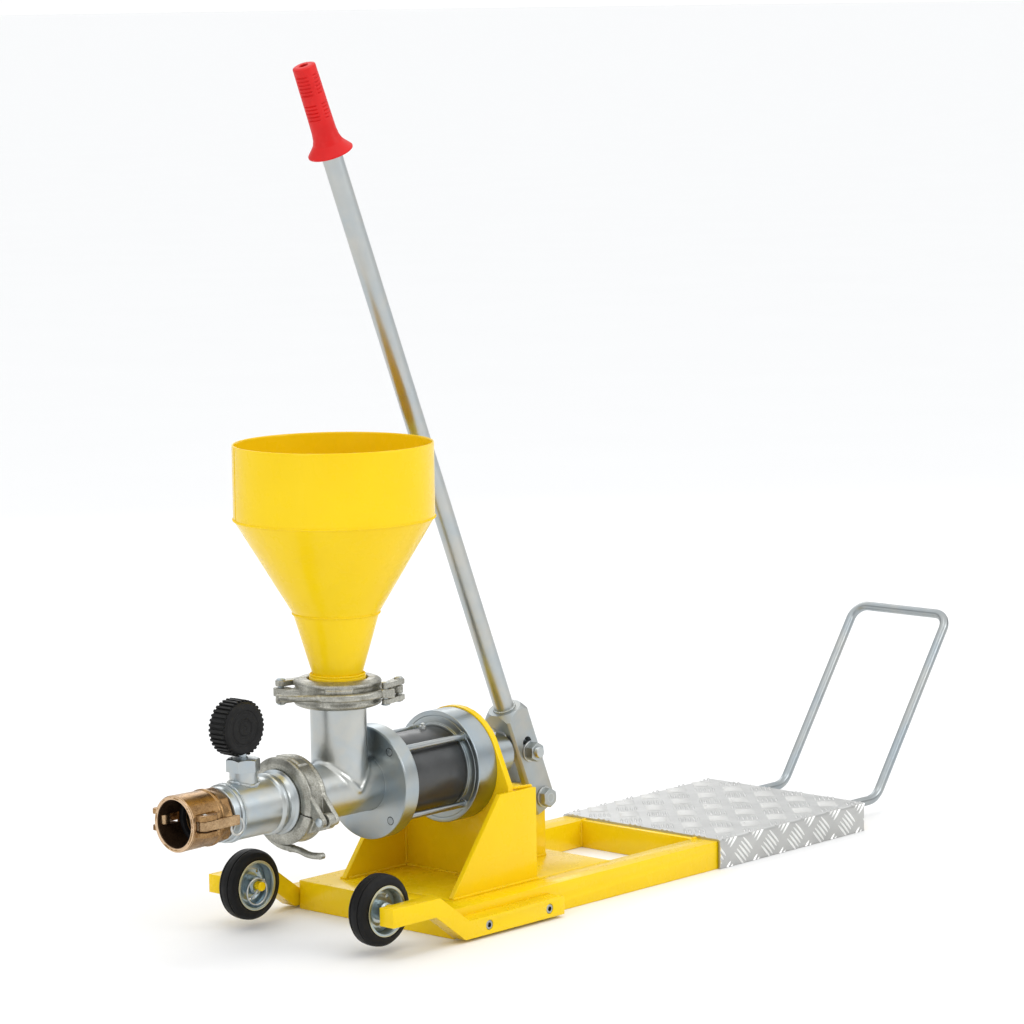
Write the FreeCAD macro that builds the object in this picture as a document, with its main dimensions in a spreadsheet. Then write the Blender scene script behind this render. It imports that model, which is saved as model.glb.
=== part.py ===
import FreeCAD, Part
import math
import os
import re
import Sketcher

os.makedirs("parts", exist_ok=True)

# Hand-lever grout pump on a wheeled frame.
# X runs from the outlet coupling to the tow handle, Y is the axle direction, Z is up.
# The origin lies on the floor under the middle of the front frame member.
# Millimetres and degrees throughout.

SIZES = {
    # frame of square tube
    "rail_size": 40,
    "rail_wall": 3,
    "frame_width": 292,
    "front_member_start": -20,
    "rail_end": 873,
    "middle_member_start": 526,
    "base_plate_thick": 8,
    "base_plate_end": 345,
    # tower that carries the pump
    "plate_front": 145,
    "plate_thick": 10,
    "plate_radius": 80,
    "plate_side_angle": 24,
    "gusset_thick": 8,
    "gusset_foot_front": 21,
    "gusset_foot_rear": 193,
    "gusset_top_front": 120,
    "shelf_thick": 10,
    "shelf_gap": 0.5,
    "lug_thick": 22,
    "lug_radius": 16.5,
    "lug_web_reach": 20,
    # bent wheel arms
    "arm_size": 25,
    "arm_gap": 3.5,
    "arm_pad_front": 0,
    "arm_rear": 172,
    "arm_low_z": 16.5,
    "arm_low_bend": -22,
    "arm_high_z": 57.5,
    "arm_high_bend": -78,
    "arm_front": -164,
    "arm_screw_front": 21,
    "arm_screw_rear": 142,
    "screw_radius": 4,
    "screw_head_radius": 6.5,
    "screw_head_height": 8,
    "screw_clearance": 0.3,
    # wheels
    "axle_x": -137.7,
    "axle_z": 58.5,
    "axle_radius": 6.5,
    "axle_running_gap": 0.07,
    "axle_proud": 8.75,
    "axle_collar_radius": 10,
    "axle_collar_length": 9.25,
    "axle_collar_gap": 0.5,
    "wheel_radius": 48.5,
    "tyre_half_width": 14.5,
    "tyre_shoulder": 9,
    "rim_radius": 31,
    "rim_flange_radius": 34,
    "rim_half_width": 15.5,
    "rim_sheet": 2,
    "hub_radius": 10,
    "hub_half_width": 17,
    "rim_hole_radius": 3.5,
    "rim_hole_circle": 20,
    "clip_wire": 1.5,
    "clip_ring": 11,
    # tread plate over the rear of the frame
    "tread_start": 536,
    "tread_end": 877,
    "tread_sheet": 3,
    "tread_gap": 1.5,
    # tow handle of round bar
    "tow_bar_radius": 7,
    "tow_inset": 56,
    "tow_start": 815,
    "tow_bend": 985,
    "tow_z": 24,
    "tow_rise_angle": 54.1,
    "tow_slope_length": 322,
    "tow_bend_radius": 36,
    "tow_corner_radius": 24,
    "tow_overlap": 70,
    # pump cylinder and flanges
    "pump_z": 198,
    "flange_radius": 78,
    "front_flange_front": -35,
    "front_flange_rear": -10,
    "rear_flange_front": 108.5,
    "cylinder_radius": 57,
    "cylinder_bore": 50,
    "seat_depth": 4,
    "seat_gap": 0.1,
    "shoulder_radius": 61,
    "tie_rod_radius": 5,
    "tie_rod_gap": 0.15,
    "tie_rod_circle": 66.5,
    "tie_rod_depth": 18,
    "tie_rod_proud": 0.5,
    # rod guide, piston and rod
    "guide_radius": 28.5,
    "guide_end": 237,
    "guide_spigot_radius": 25,
    "guide_spigot_front": 118,
    "guide_chamfer": 3,
    "guide_relief_radius": 17,
    "wiper_radius": 20,
    "wiper_length": 6,
    "rod_radius": 14,
    "rod_running_gap": 0.05,
    "piston_front": -9,
    "piston_length": 40,
    "piston_gap": 0.4,
    "seal_gap": 0.05,
    "seal_groove_radius": 44,
    "seal_width": 8,
    "rod_end_width": 20,
    "rod_end_half_height": 15,
    "rod_end_front": 31,
    "rod_end_rear": 20,
    # hand lever
    "pivot_x": 300,
    "pivot_z": 128,
    "lever_lean": 22.2,
    "bolt_radius": 8,
    "bolt_running_gap": 0.06,
    "bolt_flats": 24,
    "bolt_head_height": 10,
    "nut_height": 13,
    "washer_radius": 15,
    "washer_thick": 2.5,
    "washer_gap": 0.3,
    "fork_half_width": 23,
    "fork_thick": 48,
    "fork_gap": 24,
    "fork_foot": 18,
    "fork_top": 143,
    "fork_gap_top": 118,
    "fork_chamfer": 3.5,
    "slot_play": 1.8,
    "slot_low": 67,
    "slot_high": 98,
    "tube_radius": 14,
    "tube_wall": 2.5,
    "tube_start": 123,
    "grip_start": 994,
    "grip_end": 1119,
    "grip_collar_radius": 30.5,
    "grip_radius": 16.5,
    "grip_tip_radius": 15.2,
    "grip_cap": 4,
    # tee pipe, hopper and outlet pipe
    "pipe_radius": 38,
    "pipe_wall": 3.6,
    "hopper_x": -83,
    "hopper_clamp_z": 330.5,
    "outlet_clamp_x": -180.5,
    "collar_radius": 47.5,
    "collar_length": 12,
    "seal_thick": 4,
    "spout_neck_radius": 33.5,
    "spout_neck_z": 353,
    "spout_wall": 2.5,
    "bowl_neck_radius": 58,
    "bowl_neck_z": 437,
    "bowl_radius": 134.5,
    "bowl_band_z": 565,
    "bowl_top": 665,
    # ball valves inside the pipes
    "ball_radius": 26,
    "valve_hole_radius": 22,
    "valve_stop_radius": 20,
    "valve_seat_thick": 8,
    "valve_stop_thick": 6,
    "valve_travel": 10,
    "valve_gap": 0.6,
    "valve_rib_width": 6,
    # clamp couplings
    "clamp_radius": 59.5,
    "clamp_lip_radius": 40.5,
    "clamp_groove_radius": 48.5,
    "clamp_half_width": 19,
    "clamp_edge": 5,
    "clamp_play": 0.4,
    "clamp_split": 0.5,
    "clamp_hinge_x": 76,
    "clamp_knuckle_radius": 9.5,
    "clamp_knuckle_half": 6,
    "clamp_ear_outer": 19,
    "clamp_pin_radius": 4,
    "clamp_pin_gap": 0.06,
    "clamp_pin_head": 6,
    "clamp_pin_head_height": 3,
    "clamp_pin_end_gap": 0.3,
    "clamp_knuckle_gap": 0.6,
    "clamp_root": 6,
    "clamp_eye_radius": 7,
    "clamp_eye_half": 8,
    "clamp_catch_reach": 15,
    "clamp_catch_end": 1,
    "clamp_catch_gap": 1.5,
    "clamp_cheek_half": 8,
    "clamp_cheek_round": 9,
    "clamp_cheek_reach": 26,
    "clamp_claw_start": 20.5,
    "clamp_claw_depth": 8,
    "clamp_toggle_x": 81,
    "clamp_toggle_y": 8,
    "clamp_bar_radius": 5.5,
    "clamp_cheek_inner": 8.5,
    "clamp_cheek_outer": 17,
    "clamp_bar_circle": 67,
    "clamp_bar_angle": 98,
    "clamp_bar_end": 118,
    "clamp_tail": 47,
    "clamp_turn": -47.6,
    "outlet_clamp_tilt": 15,
    # outlet pipe with gauge boss
    "outlet_end": -333.5,
    "outlet_pipe_end": -312,
    "outlet_neck_radius": 41.5,
    "thread_radius": 30,
    "outlet_ring_radius": 39,
    "outlet_ring_front": -301,
    "outlet_bead_front": -226,
    "outlet_bead_rear": -215,
    "boss_x": -261,
    "boss_radius": 18.5,
    "boss_hex_z": 249,
    "boss_hex_flats": 40,
    "boss_top": 266,
    # pressure gauge
    "gauge_z": 305.3,
    "gauge_back": -6,
    "gauge_front": 26,
    "guard_radius": 35.5,
    "guard_wall": 4,
    "case_radius": 31,
    "dial_radius": 27.5,
    "dial_y": 15,
    "stem_radius": 6.5,
    "stem_bottom": 256,
    "needle_length": 22,
    # cam lever coupling at the outlet
    "mouth_x": -386,
    "mouth_bore": 31.9,
    "mouth_depth": 40,
    "coupler_radius": 37.3,
    "coupler_length": 72,
    "coupler_flats": 70,
    "cam_pin_x": 17,
    "cam_pin_y": 40,
    "cam_pin_radius": 3,
    "cam_lug_half": 15,
    "cam_slot_half": 7,
    "cam_slot_reach": 22.5,
    "cam_slot_gap": 0.6,
    "cam_half": 6.5,
    "cam_radius": 8.5,
    "cam_throw": 2.2,
    "cam_arm_end": 74,
    "cam_arm_thick": 5,
    "cam_ring_radius": 11.5,
    "cam_ring_wire": 1.5,
    "cam_eye_x": 65.5,
    "coupler_octagon_start": 56,
    "coupler_thread_depth": 20,
    "gasket_length": 7,
    # grease nipples
    "nipple_front_x": 80,
    "nipple_rear_x": 222,
    "nipple_radius": 3.2,
    "nipple_height": 8,
}

# Places that follow from the sizes above, so that mating pieces stay together.
PLACES = {
    "plate_half_width": "frame_width / 2 - rail_size - gusset_thick",
    "gusset_height": "pump_z - guide_radius - shelf_gap",
    "lug_web_height": "gusset_height - shelf_thick",
    "wheel_middle": "frame_width / 2 + arm_gap - axle_collar_length - axle_collar_gap"
                    " - hub_half_width",
    "axle_tip": "wheel_middle - hub_half_width - axle_proud",
    "tread_half_width": "frame_width / 2 + tread_gap + tread_sheet",
    "tow_half_width": "frame_width / 2 - tow_inset",
    "rod_pin_x": "pivot_x - (pump_z - pivot_z) * tan(lever_lean)",
}

doc = FreeCAD.newDocument("grout_pump")
sheet = doc.addObject("Spreadsheet::Sheet", "sizes")
for row, (name, number) in enumerate(SIZES.items(), start=1):
    sheet.set("A%d" % row, name)
    sheet.set("B%d" % row, str(number))
    sheet.setAlias("B%d" % row, name)
doc.recompute()

NODES = []
LINKS = {"x": ((0, 1, 0), 90), "y": ((1, 0, 0), -90), "z": ((0, 0, 1), 0)}
WORD = re.compile(r"[a-z_][a-z_0-9]*")


def spelled(text):
    """Expression text in which every named place is written out in sizes."""
    return WORD.sub(
        lambda word: "(%s)" % spelled(PLACES[word[0]]) if word[0] in PLACES else word[0],
        str(text))


def term(text):
    """Expression text in which every named size points at the sheet."""
    return WORD.sub(
        lambda word: "sizes." + word[0] if word[0] in SIZES else word[0], spelled(text))


def amount(text):
    """Present value of an expression, used to start a sketch near its answer."""
    return float(sheet.evalExpression(spelled(text)))


def bind(item, prop, text):
    item.setExpression(prop, term(text))


def place(item, spot, turn=None):
    """Put an item at a spot of three expressions, turned first if a rotation is given."""
    item.Placement = FreeCAD.Placement(FreeCAD.Vector(0, 0, 0), turn or FreeCAD.Rotation())
    for letter, text in zip("xyz", spot):
        bind(item, "Placement.Base." + letter, text)
    return item


def along(letter):
    axis, angle = LINKS[letter]
    return FreeCAD.Rotation(FreeCAD.Vector(*axis), angle)


def node(item, label):
    item.Label = label
    NODES.append(item)
    return item


def box(spot, size):
    item = doc.addObject("Part::Box", "block")
    for prop, text in zip(("Length", "Width", "Height"), size):
        bind(item, prop, text)
    return place(item, spot)


def slab(start, end):
    """Box between two opposite corners."""
    size = ["(%s) - (%s)" % (high, low) for low, high in zip(start, end)]
    return box(start, size)


def rod(spot, direction, radius, length):
    item = doc.addObject("Part::Cylinder", "round")
    bind(item, "Radius", radius)
    bind(item, "Height", length)
    return place(item, spot, along(direction))


def prism(spot, direction, sides, flats, length):
    """Bar with a regular outline, sized across its flats."""
    item = doc.addObject("Part::Prism", "prism")
    item.Polygon = sides
    bind(item, "Circumradius", "(%s) / 2 / cos(%s)" % (flats, 180.0 / sides))
    bind(item, "Height", length)
    return place(item, spot, along(direction))


def torus(spot, direction, ring, wire):
    item = doc.addObject("Part::Torus", "ring")
    bind(item, "Radius1", ring)
    bind(item, "Radius2", wire)
    return place(item, spot, along(direction))


def ball(spot, radius):
    item = doc.addObject("Part::Sphere", "ball")
    bind(item, "Radius", radius)
    return place(item, spot)


def join(pieces):
    item = doc.addObject("Part::MultiFuse", "joined")
    item.Shapes = pieces
    item.Refine = True
    return item


def cut(base, tools):
    item = doc.addObject("Part::Cut", "cut")
    item.Base = base
    item.Tool = tools[0] if len(tools) == 1 else join(tools)
    item.Refine = True
    return item


def group(pieces):
    item = doc.addObject("Part::Compound", "group")
    item.Links = pieces
    return item


def new_body():
    return doc.addObject("PartDesign::Body", "body")


def flat_sketch(owner, plane):
    sketch = owner.newObject("Sketcher::SketchObject", "outline")
    support = [item for item in owner.Origin.OriginFeatures if item.Role == plane][0]
    sketch.AttachmentSupport = [(support, "")]
    sketch.MapMode = "FlatFace"
    return sketch


def hold_point(sketch, geometry, end, point):
    """Fix one end of a sketch line at a point given by two expressions."""
    for kind, text in zip(("DistanceX", "DistanceY"), point):
        rule = Sketcher.Constraint(kind, -1, 1, geometry, end, amount(text))
        index = sketch.addConstraint(rule)
        bind(sketch, "Constraints[%d]" % index, text)


def arc_between(start, end, radius, turns_left):
    """Arc from start to end that turns to the named side, always stored anticlockwise."""
    chord = end - start
    middle = (start + end) * 0.5
    rise = math.sqrt(max(radius ** 2 - (chord.Length / 2) ** 2, 0))
    side = FreeCAD.Vector(-chord.y, chord.x, 0).normalize()
    centre = middle + side * (rise if turns_left else -rise)
    first, last = (start, end) if turns_left else (end, start)
    begin = math.atan2(first.y - centre.y, first.x - centre.x)
    finish = math.atan2(last.y - centre.y, last.x - centre.x)
    if finish <= begin:
        finish += 2 * math.pi
    circle = Part.Circle(centre, FreeCAD.Vector(0, 0, 1), radius)
    return Part.ArcOfCircle(circle, begin, finish)


def draw(owner, plane, points, arcs=None, closed=True):
    """Outline through points; arcs gives (radius, side) for the stretch after a point."""
    arcs = arcs or {}
    sketch = flat_sketch(owner, plane)
    spots = [FreeCAD.Vector(amount(x), amount(y), 0) for x, y in points]
    count = len(spots) if closed else len(spots) - 1
    ends = []
    for index in range(count):
        start = spots[index]
        end = spots[(index + 1) % len(spots)]
        if index in arcs:
            radius, side = arcs[index]
            left = side == "left"
            sketch.addGeometry(arc_between(start, end, amount(radius), left), False)
            ends.append((1, 2) if left else (2, 1))
        else:
            sketch.addGeometry(Part.LineSegment(start, end), False)
            ends.append((1, 2))
    for index in range(count if closed else count - 1):
        after = (index + 1) % count
        rule = Sketcher.Constraint("Coincident", index, ends[index][1], after, ends[after][0])
        sketch.addConstraint(rule)
    for index in range(count):
        hold_point(sketch, index, ends[index][0], points[index])
    if not closed:
        hold_point(sketch, count - 1, ends[-1][1], points[-1])
    for index, (radius, side) in arcs.items():
        rule = sketch.addConstraint(Sketcher.Constraint("Radius", index, amount(radius)))
        bind(sketch, "Constraints[%d]" % rule, radius)
    return sketch


def draw_circles(owner, plane, circles):
    """Sketch of circles, each given as (centre across, centre up, radius)."""
    sketch = flat_sketch(owner, plane)
    for index, (across, up, radius) in enumerate(circles):
        centre = FreeCAD.Vector(amount(across), amount(up), 0)
        sketch.addGeometry(Part.Circle(centre, FreeCAD.Vector(0, 0, 1), amount(radius)), False)
        hold_point(sketch, index, 3, (across, up))
        rule = sketch.addConstraint(Sketcher.Constraint("Radius", index, amount(radius)))
        bind(sketch, "Constraints[%d]" % rule, radius)
    return sketch


def finish(owner, feature):
    owner.Tip = feature
    doc.recompute()
    return feature


def pad(owner, sketch, length, reverse=False, both=False):
    feature = owner.newObject("PartDesign::Pad", "pad")
    feature.Profile = sketch
    bind(feature, "Length", length)
    feature.Reversed = reverse
    feature.SideType = "Symmetric" if both else "One side"
    return finish(owner, feature)


def pocket(owner, sketch, depth, reverse=False, both=False):
    feature = owner.newObject("PartDesign::Pocket", "pocket")
    feature.Profile = sketch
    bind(feature, "Length", depth)
    feature.Reversed = reverse
    feature.SideType = "Symmetric" if both else "One side"
    return finish(owner, feature)


def turned(owner, sketch, axis, angle="360"):
    feature = owner.newObject("PartDesign::Revolution", "turned")
    feature.Profile = sketch
    feature.ReferenceAxis = (sketch, [axis])
    bind(feature, "Angle", angle)
    return finish(owner, feature)


def repeat_round(owner, feature, role, count):
    pattern = owner.newObject("PartDesign::PolarPattern", "repeat")
    axis = [item for item in owner.Origin.OriginFeatures if item.Role == role][0]
    pattern.Originals = [feature]
    pattern.Axis = (axis, [""])
    pattern.Angle = 360
    pattern.Occurrences = count
    return finish(owner, pattern)


def bevel(owner, feature, wanted, size):
    """Chamfer on the edges of a feature that a test picks out."""
    names = []
    for index, edge in enumerate(feature.Shape.Edges, start=1):
        if wanted(edge):
            names.append("Edge%d" % index)
    item = owner.newObject("PartDesign::Chamfer", "bevel")
    item.Base = (feature, names)
    bind(item, "Size", size)
    return finish(owner, item)


def bar_along(owner, path, radius):
    """Round bar that follows an open sketch, starting along X at the body's own origin."""
    section = draw_circles(owner, "YZ_Plane", [("0", "0", radius)])
    feature = owner.newObject("PartDesign::AdditivePipe", "bar")
    feature.Profile = section
    feature.Spine = path
    return finish(owner, feature)


# Frame

def square_tube(start, end, run):
    """Square tube between two corners, open at both ends of its run."""
    inner_start = []
    inner_end = []
    for letter, low, high in zip("xyz", start, end):
        if letter == run:
            inner_start.append("(%s) - 1" % low)
            inner_end.append("(%s) + 1" % high)
        else:
            inner_start.append("(%s) + rail_wall" % low)
            inner_end.append("(%s) - rail_wall" % high)
    return cut(slab(start, end), [slab(inner_start, inner_end)])


def make_frame():
    outer = "frame_width / 2"
    inner = "frame_width / 2 - rail_size"
    front = square_tube(
        ("front_member_start", "-(%s)" % inner, "0"),
        ("front_member_start + rail_size", inner, "rail_size"), "y")
    node(front, "front_member")
    for label, low, high in (("rail_near", "-" + outer, "-(%s)" % inner),
                             ("rail_far", inner, outer)):
        hollow = slab(
            ("front_member_start + rail_wall", low + " + rail_wall", "rail_wall"),
            ("rail_end - rail_wall", high + " - rail_wall", "rail_size - rail_wall"))
        holes = [
            rod((spot, low + " - 1" if label == "rail_near" else high + " - rail_wall - 1",
                 "arm_low_z"), "y", "screw_radius", "rail_wall + 2")
            for spot in ("arm_screw_front", "arm_screw_rear")]
        rail = slab(("front_member_start", low, "0"), ("rail_end", high, "rail_size"))
        node(cut(rail, [hollow] + holes), label)
    middle = square_tube(
        ("middle_member_start", "-(%s)" % inner, "0"),
        ("middle_member_start + rail_size", inner, "rail_size"), "y")
    rear = square_tube(
        ("rail_end - rail_size", "-(%s)" % inner, "0"), ("rail_end", inner, "rail_size"), "y")
    bar_holes = [
        rod(("rail_end - rail_size - 5", "%d * tow_half_width" % side, "tow_z"),
            "x", "tow_bar_radius", "rail_size + 10")
        for side in (-1, 1)]
    node(group([middle, cut(rear, bar_holes)]), "cross_members")
    plate = slab(
        ("front_member_start + rail_size", "-(%s)" % inner, "rail_size - base_plate_thick"),
        ("base_plate_end", inner, "rail_size"))
    node(plate, "base_plate")


def make_bearing_plate():
    """Upright plate: straight sides that run into a round top, bored for the rod guide."""
    owner = new_body()
    tangent_y = "plate_radius * cos(plate_side_angle)"
    tangent_z = "pump_z + plate_radius * sin(plate_side_angle)"
    knee_z = "%s - (plate_half_width - %s) / tan(plate_side_angle)" % (tangent_z, tangent_y)
    points = [
        ("-plate_half_width", "rail_size"),
        ("plate_half_width", "rail_size"),
        ("plate_half_width", knee_z),
        (tangent_y, tangent_z),
        ("0", "pump_z + plate_radius"),
        ("-" + tangent_y, tangent_z),
        ("-plate_half_width", knee_z)]
    arcs = {3: ("plate_radius", "left"), 4: ("plate_radius", "left")}
    pad(owner, draw(owner, "YZ_Plane", points, arcs), "plate_thick")
    bore = draw_circles(owner, "YZ_Plane", [("0", "pump_z", "guide_spigot_radius")])
    pocket(owner, bore, "plate_thick", reverse=True)
    place(owner, ("plate_front", "0", "0"))
    node(owner, "bearing_plate")


def make_gusset(label, side):
    owner = new_body()
    points = [
        ("gusset_foot_front", "rail_size"),
        ("gusset_foot_rear", "rail_size"),
        ("gusset_foot_rear", "gusset_height"),
        ("gusset_top_front", "gusset_height")]
    pad(owner, draw(owner, "XZ_Plane", points), "gusset_thick", both=True)
    place(owner, ("0", "%d * (plate_half_width + gusset_thick / 2)" % side, "0"))
    node(owner, label)


def make_shelf_and_lug():
    start = "plate_front + plate_thick"
    shelf = slab(
        (start, "-plate_half_width", "gusset_height - shelf_thick"),
        ("gusset_foot_rear", "plate_half_width", "gusset_height"))
    node(shelf, "shelf_plate")
    owner = new_body()
    points = [
        (start, "rail_size"),
        ("pivot_x + lug_radius", "rail_size"),
        ("pivot_x + lug_radius", "pivot_z"),
        ("pivot_x", "pivot_z + lug_radius"),
        ("gusset_foot_rear + lug_web_reach", "lug_web_height"),
        (start, "lug_web_height")]
    outline = draw(owner, "XZ_Plane", points, {2: ("lug_radius", "left")})
    pad(owner, outline, "lug_thick", both=True)
    bore = draw_circles(owner, "XZ_Plane", [("pivot_x", "pivot_z", "bolt_radius")])
    pocket(owner, bore, "lug_thick + 2", both=True)
    node(owner, "pivot_lug")


# Wheels and their arms

def make_arm(label, side):
    """Square bar with two mitred bends that lifts the axle above the rail."""
    owner = new_body()
    half = "arm_size / 2"
    rise = "atan((arm_high_z - arm_low_z) / (arm_low_bend - arm_high_bend))"
    shift = "arm_size / 2 * tan((%s) / 2)" % rise
    points = [
        ("arm_rear", "arm_low_z - " + half),
        ("arm_rear", "arm_low_z + " + half),
        ("arm_low_bend + " + shift, "arm_low_z + " + half),
        ("arm_high_bend + " + shift, "arm_high_z + " + half),
        ("arm_front", "arm_high_z + " + half),
        ("arm_front", "arm_high_z - " + half),
        ("arm_high_bend - " + shift, "arm_high_z - " + half),
        ("arm_low_bend - " + shift, "arm_low_z - " + half)]
    pad(owner, draw(owner, "XZ_Plane", points), "arm_size", both=True)
    middle = "%d * (frame_width / 2 + arm_gap + arm_size / 2)" % side
    place(owner, ("0", middle, "0"))
    packing_y = "-frame_width / 2 - arm_gap" if side < 0 else "frame_width / 2"
    packing = box(("arm_pad_front", packing_y, "arm_low_z - " + half),
                  ("arm_rear - arm_pad_front", "arm_gap", "arm_size"))
    holes = []
    for spot in ("arm_screw_front", "arm_screw_rear"):
        outside = "frame_width / 2 + arm_gap + arm_size"
        start = "-(%s) - 1" % outside if side < 0 else "frame_width / 2 - 1"
        sink = "-(%s)" % outside if side < 0 else outside + " - screw_head_height"
        holes.append(rod((spot, start, "arm_low_z"), "y", "screw_radius + screw_clearance",
                         "arm_size + arm_gap + 2"))
        holes.append(rod((spot, sink, "arm_low_z"), "y",
                         "screw_head_radius + screw_clearance", "screw_head_height"))
    node(cut(join([owner, packing]), holes), label)


def make_arm_screws():
    """Socket cap screws sunk flush into the arms and run into the rail walls."""
    screws = []
    outside = "frame_width / 2 + arm_gap + arm_size"
    length = "arm_size + arm_gap + rail_wall - screw_head_height"
    for side in (-1, 1):
        for spot in ("arm_screw_front", "arm_screw_rear"):
            if side < 0:
                head_start = "-(%s)" % outside
                shank_start = "-(%s) + screw_head_height" % outside
                socket_start = head_start
            else:
                head_start = outside + " - screw_head_height"
                shank_start = "frame_width / 2 - rail_wall"
                socket_start = outside + " - 5"
            head = rod((spot, head_start, "arm_low_z"), "y", "screw_head_radius",
                       "screw_head_height")
            shank = rod((spot, shank_start, "arm_low_z"), "y", "screw_radius", length)
            socket = prism((spot, socket_start, "arm_low_z"), "y", 6, "6", "5")
            screws.append(cut(join([head, shank]), [socket]))
    node(group(screws), "arm_screws")


def make_axles():
    """Stub axles with a collar that keeps the wheel off the arm."""
    axles = []
    root = "frame_width / 2 + arm_gap"
    collar_start = "wheel_middle + hub_half_width + axle_collar_gap"
    for side in (-1, 1):
        bar_start = "-(%s)" % root if side < 0 else "axle_tip"
        bar = rod(("axle_x", bar_start, "axle_z"), "y", "axle_radius", root + " - axle_tip")
        collar_y = "-(%s)" % root if side < 0 else collar_start
        collar = rod(("axle_x", collar_y, "axle_z"), "y", "axle_collar_radius",
                     "%s - (%s)" % (root, collar_start))
        cross = rod(("axle_x", "%d * (axle_tip + 5)" % side, "axle_z - 10"), "z",
                    "clip_wire + 0.2", "20")
        axles.append(cut(join([bar, collar]), [cross]))
    node(group(axles), "wheel_axles")


def make_clips():
    """Spring clips: a straight leg through the axle and a ring lying round its end."""
    clips = []
    for side in (-1, 1):
        spot = "%d * (axle_tip + 5)" % side
        leg = rod(("axle_x", spot, "axle_z - clip_ring - 3"), "z", "clip_wire",
                  "2 * clip_ring + 3")
        ring = torus(("axle_x", spot, "axle_z"), "y", "clip_ring", "clip_wire")
        clips.append(join([leg, ring]))
    node(group(clips), "axle_clips")


def make_wheel(prefix, side):
    owner = new_body()
    points = [
        ("rim_radius", "-rim_half_width + rim_sheet"),
        ("rim_flange_radius", "-rim_half_width + rim_sheet"),
        ("rim_flange_radius", "-tyre_half_width"),
        ("wheel_radius - tyre_shoulder", "-tyre_half_width"),
        ("wheel_radius", "-tyre_half_width + tyre_shoulder"),
        ("wheel_radius", "tyre_half_width - tyre_shoulder"),
        ("wheel_radius - tyre_shoulder", "tyre_half_width"),
        ("rim_flange_radius", "tyre_half_width"),
        ("rim_flange_radius", "rim_half_width - rim_sheet"),
        ("rim_radius", "rim_half_width - rim_sheet")]
    arcs = {3: ("tyre_shoulder", "left"), 5: ("tyre_shoulder", "left")}
    turned(owner, draw(owner, "XY_Plane", points, arcs), "V_Axis")
    place(owner, ("axle_x", "%d * wheel_middle" % side, "axle_z"))
    node(owner, prefix + "_tyre")

    owner = new_body()
    bore = "axle_radius + axle_running_gap"
    points = [
        (bore, "-hub_half_width"),
        ("hub_radius", "-hub_half_width"),
        ("hub_radius", "-rim_sheet / 2"),
        ("rim_radius - rim_sheet", "-rim_sheet / 2"),
        ("rim_radius - rim_sheet", "-rim_half_width"),
        ("rim_flange_radius", "-rim_half_width"),
        ("rim_flange_radius", "-rim_half_width + rim_sheet"),
        ("rim_radius", "-rim_half_width + rim_sheet"),
        ("rim_radius", "rim_half_width - rim_sheet"),
        ("rim_flange_radius", "rim_half_width - rim_sheet"),
        ("rim_flange_radius", "rim_half_width"),
        ("rim_radius - rim_sheet", "rim_half_width"),
        ("rim_radius - rim_sheet", "rim_sheet / 2"),
        ("hub_radius", "rim_sheet / 2"),
        ("hub_radius", "hub_half_width"),
        (bore, "hub_half_width")]
    turned(owner, draw(owner, "XY_Plane", points), "V_Axis")
    hole = draw_circles(owner, "XZ_Plane", [("rim_hole_circle", "0", "rim_hole_radius")])
    first = pocket(owner, hole, "rim_sheet + 2", both=True)
    repeat_round(owner, first, "Y_Axis", 5)
    place(owner, ("axle_x", "%d * wheel_middle" % side, "axle_z"))
    node(owner, prefix + "_rim")


# Tread plate and tow handle

def make_tread_plate():
    """Sheet folded down over both rails."""
    owner = new_body()
    top = "rail_size + tread_sheet"
    inner = "tread_half_width - tread_sheet"
    points = [
        ("-tread_half_width", "0"),
        ("-(%s)" % inner, "0"),
        ("-(%s)" % inner, "rail_size"),
        (inner, "rail_size"),
        (inner, "0"),
        ("tread_half_width", "0"),
        ("tread_half_width", top),
        ("-tread_half_width", top)]
    pad(owner, draw(owner, "YZ_Plane", points), "tread_end - tread_start")
    place(owner, ("tread_start", "0", "0"))
    node(owner, "tread_plate")


def make_tow_handle():
    """One round bar: two legs out of the frame, a bend upwards and a square loop."""
    reach = "tow_bend - tow_start"
    tangent = "tow_bend_radius * tan(tow_rise_angle / 2)"
    legs = []
    for side in (-1, 1):
        owner = new_body()
        points = [
            ("0", "0"),
            ("%s - %s" % (reach, tangent), "0"),
            ("%s + %s * cos(tow_rise_angle)" % (reach, tangent),
             "%s * sin(tow_rise_angle)" % tangent),
            ("%s + tow_overlap * cos(tow_rise_angle)" % reach,
             "tow_overlap * sin(tow_rise_angle)")]
        path = draw(owner, "XZ_Plane", points, {1: ("tow_bend_radius", "left")}, closed=False)
        bar_along(owner, path, "tow_bar_radius")
        place(owner, ("tow_start", "%d * tow_half_width" % side, "tow_z"))
        legs.append(owner)
    owner = new_body()
    length = "tow_slope_length - tow_overlap"
    width = "2 * tow_half_width"
    points = [
        ("0", "0"),
        ("%s - tow_corner_radius" % length, "0"),
        (length, "tow_corner_radius"),
        (length, "%s - tow_corner_radius" % width),
        ("%s - tow_corner_radius" % length, width),
        ("0", width)]
    arcs = {1: ("tow_corner_radius", "left"), 3: ("tow_corner_radius", "left")}
    path = draw(owner, "XY_Plane", points, arcs, closed=False)
    bar_along(owner, path, "tow_bar_radius")
    slope = FreeCAD.Rotation(FreeCAD.Vector(0, -1, 0), amount("tow_rise_angle"))
    place(owner, (
        "tow_bend + tow_overlap * cos(tow_rise_angle)", "-tow_half_width",
        "tow_z + tow_overlap * sin(tow_rise_angle)"), slope)
    bind(owner, "Placement.Rotation.Angle", "tow_rise_angle")
    node(join(legs + [owner]), "tow_handle")


# Pump cylinder

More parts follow.
